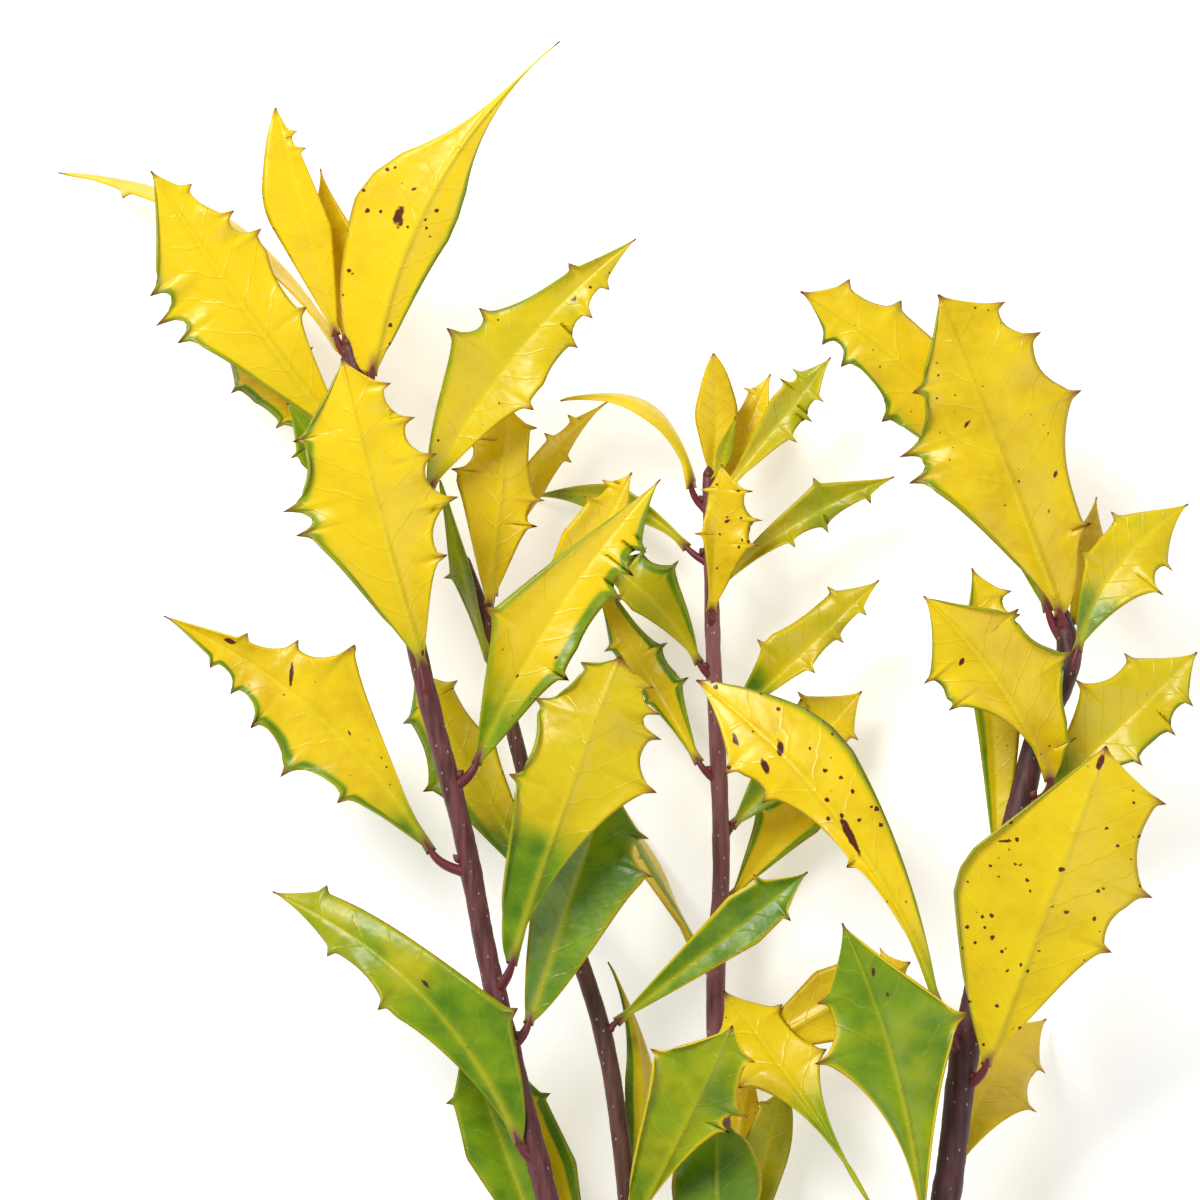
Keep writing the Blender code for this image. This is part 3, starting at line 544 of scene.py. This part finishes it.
def rows_of(lf):
    """Fractions of the midrib, even, with more rows close to each spine."""
    length = (Vector(lf.tip) - Vector(lf.base)).length
    count = round(length / ROW_STEP)
    rows = {k / count for k in range(count + 1)}
    for spine in lf.left.spines + lf.right.spines:
        for step in NEEDLE_ROWS:
            rows.add(min(max(spine + step * NEEDLE_WIDTH, 0.0), 1.0))
    return sorted(rows)


def columns(lf):
    """Fractions across the blade, closer together at the midrib."""
    half = round((lf.left.reach + lf.right.reach) / 2 / COLUMN_STEP)
    count = 2 * min(max(half, FEWEST_COLUMNS // 2), MOST_COLUMNS // 2)
    even = [2 * k / count - 1 for k in range(count + 1)]
    return [math.copysign(abs(s) ** COLUMN_BUNCHING, s) for s in even]


def roll_share(lf, side, u, v):
    """Share of this half that is rolled up here: none at the spines and ends."""
    half, share = ROLLS.get(lf.name, (0, 0.0))
    if v * half <= 0:
        return 0.0
    near = min((abs(u - spine) for spine in side.spines), default=1.0)
    open_spine = 1 - math.exp(-((near / ROLL_SPINE_GAP) ** 2))
    return share * open_spine * smooth_step(*ROLL_START, u) * smooth_step(*ROLL_END, 1 - u)


def rolled(v, share):
    """Place across and height of a point of a rolled half, as shares of its reach."""
    flat = 1 - share
    radius = share / ROLL_TURN
    beyond = abs(v) - flat
    if share < LEAST_ROLL or beyond <= 0:
        return v / (flat + radius), 0.0
    angle = beyond / radius
    place = (flat + radius * math.sin(angle)) / (flat + radius)
    return math.copysign(place, v), radius * (1 - math.cos(angle))


def blade_grid(lf):
    """Middle surface of a blade as an array of points, with its reach at each."""
    phase = sum(map(ord, lf.name))
    grid, reaches = [], []
    for u in rows_of(lf):
        rib, across = midrib(lf, u)
        line, reach_line = [], []
        for v in columns(lf):
            side = lf.left if v < 0 else lf.right
            reach = margin_reach(side, u)
            fill = reach / side.reach
            place, height = rolled(v, roll_share(lf, side, u, v))
            lift = abs(place) * (side.lift * fill + lf.face * FOLD * reach)
            lift += place * place * margin_wave(side, u) + height * reach
            ripple = noise.noise(Vector((u * RIPPLES_ALONG, v * RIPPLES_ACROSS, phase)))
            lift += ripple * min(reach, RIPPLE_REACH) * RIPPLE_HEIGHT * abs(v)
            line.append(rib + across * (place * reach) + Vector((0, 0, lift)))
            reach_line.append(reach)
        grid.append(line)
        reaches.append(reach_line)
    return np.array(grid), np.array(reaches)


def surface_normals(grid):
    along_u = np.gradient(grid, axis=0)
    along_v = np.gradient(grid, axis=1)
    normal = np.cross(along_v, along_u)
    length = np.linalg.norm(normal, axis=2, keepdims=True)
    return normal / np.maximum(length, 1e-9)


def blotched(lf, u, v, reach):
    """1 inside a brown blotch, falling to 0 outside it."""
    length = (Vector(lf.tip) - Vector(lf.base)).length
    most = 0.0
    for blot in BLOTS.get(lf.name, ()):
        ahead, aside = (u - blot.u) * length, (v - blot.v) * reach
        turn = math.radians(blot.turn)
        far = (ahead * math.cos(turn) + aside * math.sin(turn)) / (blot.long / 2)
        wide = (aside * math.cos(turn) - ahead * math.sin(turn)) / (blot.wide / 2)
        most = max(most, math.exp(-BLOT_FADE * (far * far + wide * wide)))
    return most


def blade_marks(lf, reaches):
    """Per point, the strength of each mark in Sheets.NAMES."""
    look = LOOKS.get(lf.name, Look())
    us, vs = rows_of(lf), columns(lf)
    marks = np.zeros((len(us), len(vs), len(Sheets.NAMES)))
    for i, u in enumerate(us):
        for j, v in enumerate(vs):
            side = lf.left if v < 0 else lf.right
            share = look.left if v < 0 else look.right
            edge = border(EDGE_BLUR, abs(v) - (1 - share)) if share else 0.0
            foot = border(FOOT_BLUR, look.base - u) if look.base else 0.0
            band = border(BAND_BLUR, look.rib - abs(v)) if look.rib else 0.0
            green = max(look.green, edge, foot, band)
            if look.rim:
                green *= 1 - border(RIM_BLUR, abs(v) - (1 - look.rim))
            distance = abs(v) * reaches[i, j]
            rib = math.exp(-((distance / (RIB_WIDTH * (RIB_LENGTH - u))) ** 2))
            tip = smooth_step(*TIP_MARK, u)
            spine = max(needle(side, u) * smooth_step(*SPINE_MARK, abs(v)), tip)
            rim = smooth_step(*RIM_MARK, abs(v))
            stalk = rib * (1 - smooth_step(*STALK_MARK, u))
            blot = blotched(lf, u, v, reaches[i, j])
            ribbed = rib * (1 - RIB_FADE * u)
            marks[i, j] = (green, look.brown, ribbed, rim, spine, stalk, blot)
    return marks


class Sheets:
    """Collects blades and turns them into one mesh with its attributes."""

    NAMES = ("green", "brown", "rib", "rim", "spine", "stalk", "blot")

    def __init__(self, cells):
        self.side = math.ceil(math.sqrt(cells))
        self.cell = 0
        self.verts, self.faces, self.marks = [], [], []
        self.bake, self.leaf_uv, self.tones = [], [], []
        self.count = 0

    def cell_origin(self):
        place = (self.cell % self.side, self.cell // self.side)
        self.cell += 1
        return place

    def add(self, lf, tone):
        grid, reaches = blade_grid(lf)
        normals = surface_normals(grid)
        marks = blade_marks(lf, reaches)
        us, vs = np.array(rows_of(lf)), np.array(columns(lf))
        taper = np.sqrt(np.clip(1 - np.abs(vs) ** RIM_SQUARENESS, 0, 1))[None, :]
        taper = taper * np.clip((1 - us) * TIP_CLOSING, 0, 1)[:, None]
        taper[0] = 0
        from_rim = (np.abs(vs) - SWELL_PLACE) / SWELL_WIDTH
        swell = RIM_SWELL * np.exp(-(from_rim**2))[None, :]
        half = taper * (BLADE_THICKNESS / 2 + swell)
        ribs = RIB_HEIGHT * marks[:, :, self.NAMES.index("rib")] * taper
        upper = half - RIB_GROOVE * ribs if lf.face > 0 else half + ribs
        lower = half + ribs if lf.face > 0 else half - RIB_GROOVE * ribs
        rows, cols = grid.shape[:2]
        top = np.arange(rows * cols).reshape(rows, cols) + self.count
        bottom = top + rows * cols
        bottom[0], bottom[-1] = top[0], top[-1]
        bottom[:, 0], bottom[:, -1] = top[:, 0], top[:, -1]
        self.verts.append((grid + normals * upper[:, :, None]).reshape(-1, 3))
        self.verts.append((grid - normals * lower[:, :, None]).reshape(-1, 3))
        self.marks += [marks.reshape(-1, len(self.NAMES))] * 2
        self.tones.append(np.full(rows * cols * 2, tone))
        self.count += 2 * rows * cols
        length = np.linalg.norm(np.diff(grid[:, cols // 2], axis=0), axis=1).sum()
        across = vs[None, :] * reaches / length
        flat = np.stack([np.broadcast_to(us[:, None], across.shape), across], axis=2)
        even = np.stack(np.meshgrid(us, (vs + 1) / 2, indexing="ij"), axis=2)
        for ids, turn in ((top, 1), (bottom, -1)):
            self.add_layer(ids, turn, flat, even)

    def add_layer(self, ids, turn, flat, even):
        def corners(values):
            quad = (values[:-1, :-1], values[:-1, 1:], values[1:, 1:], values[1:, :-1])
            stacked = np.stack(quad[::turn], axis=2)
            return stacked.reshape(-1, 4, *values.shape[2:])

        place = np.array(self.cell_origin())
        self.faces.append(corners(ids))
        self.leaf_uv.append(corners(flat))
        self.bake.append((corners(even) * CELL_FILL + CELL_GAP + place) / self.side)

    def finish(self, name, material):
        verts = np.concatenate(self.verts)
        faces = np.concatenate(self.faces)
        used = np.zeros(len(verts), dtype=bool)
        used[faces.ravel()] = True
        renumber = np.cumsum(used) - 1
        faces = renumber[faces]
        mesh = bpy.data.meshes.new(name)
        mesh.from_pydata([row_point(v) for v in verts[used]], [], faces.tolist())
        marks = np.concatenate(self.marks)[used]
        for column, mark in enumerate(self.NAMES):
            add_attribute(mesh, mark, marks[:, column])
        add_attribute(mesh, "tone", np.concatenate(self.tones)[used])
        add_uv(mesh, "OFBake", np.concatenate(self.bake))
        add_uv(mesh, "leaf", np.concatenate(self.leaf_uv))
        return finish_object(name, mesh, material)


def add_attribute(mesh, name, values):
    layer = mesh.attributes.new(name, "FLOAT", "POINT")
    layer.data.foreach_set("value", np.asarray(values, dtype=np.float32).ravel())


def add_uv(mesh, name, corners):
    layer = mesh.uv_layers.new(name=name)
    layer.data.foreach_set("uv", np.asarray(corners, dtype=np.float32).ravel())


def finish_object(name, mesh, material):
    mesh.shade_smooth()
    mesh.materials.append(material)
    made = bpy.data.objects.new(name, mesh)
    bpy.context.scene.collection.objects.link(made)
    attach(made, "root")
    return made


class Tubes:
    """Collects closed round bodies, each swept along a path, in one mesh."""

    def __init__(self, count):
        self.side = math.ceil(math.sqrt(count))
        self.cell = 0
        self.verts, self.faces, self.uvs = [], [], []

    def add(self, path, radius_at, sides):
        """path is a list of points; radius_at gives a radius by ring and angle."""
        path = [Vector(p) for p in path]
        base = len(self.verts)
        place = (self.cell % self.side, self.cell // self.side)
        self.cell += 1
        last = len(path) - 1
        for i, point in enumerate(path):
            run = (path[min(i + 1, last)] - path[max(i - 1, 0)]).normalized()
            side = run.cross(RING_START).normalized()
            up = side.cross(run)
            for k in range(sides):
                angle = 2 * math.pi * k / sides
                out = side * math.cos(angle) + up * math.sin(angle)
                self.verts.append(point + out * radius_at(i, angle, point + out))
        for i in range(last):
            for k in range(sides):
                nxt = (k + 1) % sides
                ring, above = base + i * sides, base + (i + 1) * sides
                self.faces.append((ring + k, ring + nxt, above + nxt, above + k))
                quad = ((i, k), (i, k + 1), (i + 1, k + 1), (i + 1, k))
                self.uvs.append([self.spot(a / last * WALL_SHARE, b / sides, place)
                                 for a, b in quad])
        ends = ((base, -1, CAP_MIDDLES[0]), (base + last * sides, 1, CAP_MIDDLES[1]))
        for ring, turn, middle in ends:
            self.faces.append(tuple(range(ring, ring + sides))[::turn])
            self.uvs.append([
                self.spot(middle + CAP_WIDE * math.cos(2 * math.pi * k / sides),
                          0.5 + CAP_HIGH * math.sin(2 * math.pi * k / sides), place)
                for k in range(sides)][::turn])

    def spot(self, a, b, place):
        """A place in this body's cell of the bake layout, with a gap all round."""
        return ((a * CELL_FILL + CELL_GAP + place[0]) / self.side,
                (b * CELL_FILL + CELL_GAP + place[1]) / self.side)

    def finish(self, name, material):
        mesh = bpy.data.meshes.new(name)
        mesh.from_pydata([row_point(v) for v in self.verts], [], self.faces)
        layer = mesh.uv_layers.new(name="OFBake")
        flat = [value for face in self.uvs for spot in face for value in spot]
        layer.data.foreach_set("uv", flat)
        return finish_object(name, mesh, material)


def row_point(point):
    """A point of the tables, in millimetres, as metres in the part's frame."""
    return (point[0] * MM + ORIGIN.x, point[1] * MM + ORIGIN.y, point[2] * MM + ORIGIN.z)


def knot_place(knot):
    return Vector((knot.x, knot.y, knot.z))


def build_wood(shoot, material):
    """A shoot from its fork to its tip, swollen where leaves grow from it."""
    low, high = SHOOTS[shoot][0].y, SHOOTS[shoot][-1].y
    count = round((high - low) / STEM_RING_STEP)
    heights = [low + (high - low) * k / count for k in range(count + 1)]
    feet = [lf.foot for lf in LEAVES if lf.name[0] == shoot]
    middles, radii = [], []
    for y in heights:
        point, thick = along(shoot, y)
        swell = sum(math.exp(-(((y - foot) / NODE_SPREAD) ** 2)) for foot in feet)
        middles.append(point)
        radii.append(thick / 2 * (1 + NODE_SWELL * min(swell, MOST_SWELL)))

    def radius_at(ring, angle, point):
        grain = noise.noise(Vector([p * f for p, f in zip(point, BARK_COARSE)]))
        grain += 0.5 * noise.noise(Vector([p * f for p, f in zip(point, BARK_FINE)]))
        return radii[ring] * (1 + BARK_RELIEF * grain)

    tubes = Tubes(1)
    tubes.add(middles, radius_at, STEM_SIDES)
    return tubes.finish("wood_" + shoot, material)


def petiole_path(lf):
    """From inside the shoot, round to the underside of the blade's foot."""
    foot = along(lf.name[0], lf.foot)[0]
    base = midrib(lf, 0)[0]
    inside = midrib(lf, PETIOLE_SINK)[0]
    lead = base - (inside - base).normalized() * ((base - foot).length * PETIOLE_LEAD)
    under = Vector((0, 0, -lf.face * PETIOLE_DROP))
    path = []
    for k in range(PETIOLE_RINGS):
        t = k / (PETIOLE_RINGS - 1)
        place = foot * (1 - t) ** 2 + lead * (2 * t * (1 - t)) + base * t**2
        path.append(place + under * t**2)
    for k in range(SINK_RINGS):
        path.append(midrib(lf, PETIOLE_SINK * (k + 1) / SINK_RINGS)[0] + under)
    return path


def build_petioles(material):
    tubes = Tubes(len(LEAVES))
    for lf in LEAVES:
        path = petiole_path(lf)
        last = len(path) - 1
        narrow = min(lf.left.reach, lf.right.reach) < NARROW_REACH
        thick = PETIOLE_RADIUS * (NARROW_SHARE if narrow else 1)

        def radius_at(ring, angle, point, last=last, thick=thick):
            t = ring / last
            flare = 1 + FOOT_FLARE * max(0.0, 1 - t * FOOT_FLARE_FALL)
            return (thick + (PETIOLE_TIP_RADIUS - thick) * t**2) * flare

        tubes.add(path, radius_at, PETIOLE_SIDES)
    return tubes.finish("petioles", material)


def build_buds(material):
    """A small bud in the angle of each leaf, and one on each shoot's tip."""
    rng = random.Random(SEED)
    tubes = Tubes(len(LEAVES) + len(SHOOTS))
    sites = []
    for lf in LEAVES:
        foot, thick = along(lf.name[0], lf.foot + BUD_ABOVE)
        out = midrib(lf, 0)[0] - foot
        out.y *= 0.3
        lean = (out.normalized() + Vector(BUD_LEAN)).normalized()
        start = foot + out.normalized() * (thick / 2 - BUD_SINK)
        length = BUD_LENGTH + rng.random()
        sites.append((start, lean, length, BUD_WIDTH + BUD_WIDER * rng.random()))
    for knots in SHOOTS.values():
        tip, before = knot_place(knots[-1]), knot_place(knots[-2])
        run = (tip - before).normalized()
        start = tip - run * TIP_BUD_SINK
        sites.append((start, run, TIP_BUD_LENGTH, knots[-1].thick / 2))
    last = BUD_RINGS - 1
    for start, run, length, width in sites:
        path = [start + run * (length * k / last) for k in range(BUD_RINGS)]

        def radius_at(ring, angle, point, width=width):
            swell = math.sin(math.pi * (0.25 + 0.74 * ring / last))
            return max(width * swell, BUD_POINT)

        tubes.add(path, radius_at, BUD_SIDES)
    return tubes.finish("buds", material)


class Shader:
    """Short calls for building one Principled material from nodes."""

    def __init__(self, name):
        self.material = bpy.data.materials.new(name)
        self.material.use_nodes = True
        self.nodes = self.material.node_tree.nodes
        self.links = self.material.node_tree.links
        self.out = self.nodes["Principled BSDF"]
        self.place = self.nodes.new("ShaderNodeTexCoord").outputs["Object"]

    def join(self, source, socket):
        if hasattr(source, "is_linked"):
            self.links.new(source, socket)
        elif isinstance(source, tuple):
            socket.default_value = (*source, 1)
        else:
            socket.default_value = source

    def math(self, kind, a, b=0.0):
        made = self.nodes.new("ShaderNodeMath")
        made.operation = kind
        self.join(a, made.inputs[0])
        self.join(b, made.inputs[1])
        return made.outputs[0]

    def ramp(self, value, low, high, start=0.0, end=1.0):
        made = self.nodes.new("ShaderNodeMapRange")
        made.interpolation_type = "SMOOTHSTEP"
        self.join(value, made.inputs["Value"])
        made.inputs["From Min"].default_value = low
        made.inputs["From Max"].default_value = high
        made.inputs["To Min"].default_value = start
        made.inputs["To Max"].default_value = end
        return made.outputs[0]

    def mix(self, share, first, second):
        made = self.nodes.new("ShaderNodeMix")
        made.data_type = "RGBA"
        self.join(share, made.inputs[0])
        self.join(first, made.inputs[6])
        self.join(second, made.inputs[7])
        return made.outputs[2]

    def noise(self, scale, detail=3.0, place=None):
        made = self.nodes.new("ShaderNodeTexNoise")
        made.inputs["Scale"].default_value = scale
        made.inputs["Detail"].default_value = detail
        self.join(place or self.place, made.inputs["Vector"])
        return made.outputs["Fac"]

    def cells(self, scale, place=None):
        made = self.nodes.new("ShaderNodeTexVoronoi")
        made.inputs["Scale"].default_value = scale
        self.join(place or self.place, made.inputs["Vector"])
        return made.outputs["Distance"]

    def stretched(self, factors):
        made = self.nodes.new("ShaderNodeMapping")
        made.inputs["Scale"].default_value = factors
        self.join(self.place, made.inputs["Vector"])
        return made.outputs[0]

    def attribute(self, name):
        made = self.nodes.new("ShaderNodeAttribute")
        made.attribute_name = name
        return made.outputs["Fac"]

    def bump(self, height, distance):
        made = self.nodes.new("ShaderNodeBump")
        made.inputs["Distance"].default_value = distance
        self.join(height, made.inputs["Height"])
        self.join(made.outputs[0], self.out.inputs["Normal"])


def leaf_material():
    """Yellow and green patches, pale veins, brown spots, maroon spine tips."""
    s = Shader("holly_leaf")
    tone = s.attribute("tone")
    cloud = s.noise(90, 3)
    fine = s.noise(420, 4)
    uv = s.nodes.new("ShaderNodeUVMap")
    uv.uv_map = "leaf"
    split = s.nodes.new("ShaderNodeSeparateXYZ")
    s.join(uv.outputs[0], split.inputs[0])
    across = s.math("ABSOLUTE", split.outputs[1])
    slant = s.math("SUBTRACT", split.outputs[0], s.math("MULTIPLY", across, 0.9))
    bent = s.math("ADD", s.math("MULTIPLY", slant, 9.0), s.math("MULTIPLY", cloud, 0.9))
    vein = s.math("PINGPONG", bent, 0.5)
    vein_line = s.ramp(vein, 0.0, 0.06, 1.0, 0.0)

    yellow = s.mix(s.ramp(s.math("ADD", cloud, tone), 0.35, 1.1), YELLOW_DEEP, YELLOW)
    yellow = s.mix(s.ramp(fine, 0.35, 0.75, 0.0, 0.3), yellow, YELLOW_PALE)
    yellow = s.mix(s.ramp(s.attribute("green"), 0.0, 0.8, 0.0, 0.9), yellow, OLIVE)
    green = s.mix(s.ramp(s.math("ADD", s.noise(110), s.math("MULTIPLY", tone, 0.4)),
                         0.35, 1.0), GREEN_DARK, GREEN_LIGHT)
    share = s.math("ADD", s.attribute("green"), s.math("MULTIPLY", cloud, 0.7))
    colour = s.mix(s.ramp(share, 0.62, 1.12), yellow, green)
    colour = s.mix(s.math("MULTIPLY", vein_line, 0.07), colour, YELLOW_PALE)
    colour = s.mix(s.math("MULTIPLY", s.attribute("rib"), 0.4), colour, YELLOW_PALE)
    colour = s.mix(s.math("MULTIPLY", s.attribute("rim"), 0.35), colour, YELLOW)
    colour = s.mix(s.attribute("stalk"), colour, PETIOLE_PURPLE)
    colour = s.mix(leaf_spots(s, fine), colour, BROWN)
    colour = s.mix(s.attribute("spine"), colour, MAROON)
    s.join(colour, s.out.inputs["Base Color"])
    s.join(s.ramp(fine, 0.2, 0.8, 0.24, 0.38), s.out.inputs["Roughness"])
    s.out.inputs["Specular IOR Level"].default_value = LEAF_GLOSS
    height = s.math("ADD", s.math("MULTIPLY", fine, 0.35), s.math("MULTIPLY", vein_line, 0.25))
    height = s.math("ADD", height, s.math("MULTIPLY", s.noise(170, 2), 1.4))
    s.bump(height, LEAF_BUMP)
    return s.material


def leaf_spots(s, fine):
    """Small ragged specks that come in groups, and the blotches of the table."""
    gate = s.ramp(s.noise(70), 0.40, 0.58, 0.3, 1.0)
    most = s.math("ADD", s.math("MULTIPLY", s.attribute("brown"), 0.36), 0.09)
    ragged = s.math("MULTIPLY", s.noise(1300, 3), 0.30)
    distance = s.math("ADD", s.cells(330), ragged)
    specks = s.ramp(s.math("SUBTRACT", s.math("MULTIPLY", most, gate), distance), -0.02, 0.03)
    edge = s.math("ADD", s.attribute("blot"), s.math("MULTIPLY", fine, 0.7))
    return s.math("MAXIMUM", specks, s.ramp(edge, 0.72, 0.92))


def bark_material(shoot):
    """Dark smooth bark with lengthwise streaks and pale lenticels."""
    s = Shader("bark_" + shoot)
    dark, streak = BARKS[shoot]
    lengthwise = s.stretched((1.0, 0.12, 1.0))
    grain = s.noise(700, 4, lengthwise)
    colour = s.mix(s.ramp(grain, 0.35, 0.7), dark, streak)
    pores = s.cells(520, s.stretched((1.0, 0.6, 1.0)))
    pore = s.ramp(pores, 0.07, 0.16, 1.0, 0.0)
    gate = s.ramp(s.noise(140), 0.38, 0.52)
    pore = s.math("MULTIPLY", pore, gate)
    colour = s.mix(s.math("MULTIPLY", pore, 0.75), colour, LENTICEL)
    s.join(colour, s.out.inputs["Base Color"])
    s.join(s.ramp(grain, 0.2, 0.8, 0.38, 0.6), s.out.inputs["Roughness"])
    s.out.inputs["Specular IOR Level"].default_value = BARK_GLOSS
    s.bump(s.math("ADD", grain, pore), BARK_BUMP)
    return s.material


def stalk_material(name, colour, second):
    s = Shader(name)
    grain = s.noise(600, 3)
    s.join(s.mix(s.ramp(grain, 0.3, 0.75), colour, second), s.out.inputs["Base Color"])
    s.join(s.ramp(grain, 0.2, 0.8, 0.35, 0.5), s.out.inputs["Roughness"])
    s.out.inputs["Specular IOR Level"].default_value = BARK_GLOSS
    s.bump(grain, STALK_BUMP)
    return s.material


def floor_material():
    s = Shader("pale_floor")
    s.join(FLOOR_WHITE, s.out.inputs["Base Color"])
    s.out.inputs["Roughness"].default_value = 0.9
    s.out.inputs["Emission Color"].default_value = (1, 1, 1, 1)
    s.out.inputs["Emission Strength"].default_value = FLOOR_GLOW
    return s.material


def build_floor():
    mesh = bpy.data.meshes.new("floor")
    signs = ((-1, -1), (1, -1), (1, 1), (-1, 1))
    mesh.from_pydata([(FLOOR_REACH * x, FLOOR_REACH * y, 0) for x, y in signs], [],
                     [(0, 1, 2, 3)])
    mesh.materials.append(floor_material())
    floor = bpy.data.objects.new("floor", mesh)
    bpy.context.scene.collection.objects.link(floor)


def area_light(name, place, size, power):
    data = bpy.data.lights.new(name, "AREA")
    data.size = size
    data.energy = power
    lamp = bpy.data.objects.new(name, data)
    lamp.location = place
    lamp.rotation_euler = (-Vector(place)).to_track_quat("-Z", "Y").to_euler()
    bpy.context.scene.collection.objects.link(lamp)


def build_lights():
    world = bpy.data.worlds.new("studio")
    world.use_nodes = True
    sky = world.node_tree.nodes["Background"]
    sky.inputs["Color"].default_value = (1, 1, 1, 1)
    sky.inputs["Strength"].default_value = SKY_STRENGTH
    bpy.context.scene.world = world
    for name, place, size, power in LAMPS:
        area_light(name, place, size, power)
    bpy.context.scene.view_settings.view_transform = "Standard"


def build_camera():
    data = bpy.data.cameras.new("camera")
    data.lens = CAMERA_LENS
    data.sensor_width = 36
    data.clip_end = 20
    camera = bpy.data.objects.new("camera", data)
    camera.location = row_point((*VIEW_MIDDLE, CAMERA_HEIGHT))
    bpy.context.scene.collection.objects.link(camera)
    bpy.context.scene.camera = camera


def build_shoot(shoot, leaf_look):
    rng = random.Random(SEED + ord(shoot))
    leaves = [lf for lf in LEAVES if lf.name[0] == shoot]
    sheets = Sheets(2 * len(leaves))
    for lf in leaves:
        sheets.add(lf, rng.uniform(*TONES))
    made = sheets.finish("leaves_" + shoot, leaf_look)
    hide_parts(*[f"{SHOOT_NAMES[shoot]}_{part}_leaves"
                        for part in ("lower", "middle", "top")])
    wood = build_wood(shoot, bark_material(shoot))
    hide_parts(LIMBS[shoot])


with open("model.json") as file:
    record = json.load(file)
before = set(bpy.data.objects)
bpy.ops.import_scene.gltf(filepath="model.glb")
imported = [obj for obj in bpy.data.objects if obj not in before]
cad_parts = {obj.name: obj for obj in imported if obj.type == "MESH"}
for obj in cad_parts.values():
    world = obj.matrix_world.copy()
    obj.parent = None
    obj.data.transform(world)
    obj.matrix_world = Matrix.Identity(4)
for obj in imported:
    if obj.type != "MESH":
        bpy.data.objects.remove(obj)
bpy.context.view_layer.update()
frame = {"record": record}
cut = next(m for m in frame["record"]["mounts"] if m["name"] == "cut_end")
ORIGIN = Vector(cut["pos_m"]) - knot_place(SHOOTS["C"][0]) * MM

holly_leaf = leaf_material()
for shoot_letter in SHOOTS:
    build_shoot(shoot_letter, holly_leaf)
stalks = build_petioles(stalk_material("petiole_skin", PETIOLE_PURPLE, MAROON))
buds = build_buds(stalk_material("bud_scales", BUD, MAROON))
build_floor()
build_lights()
build_camera()

bpy.context.view_layer.update()
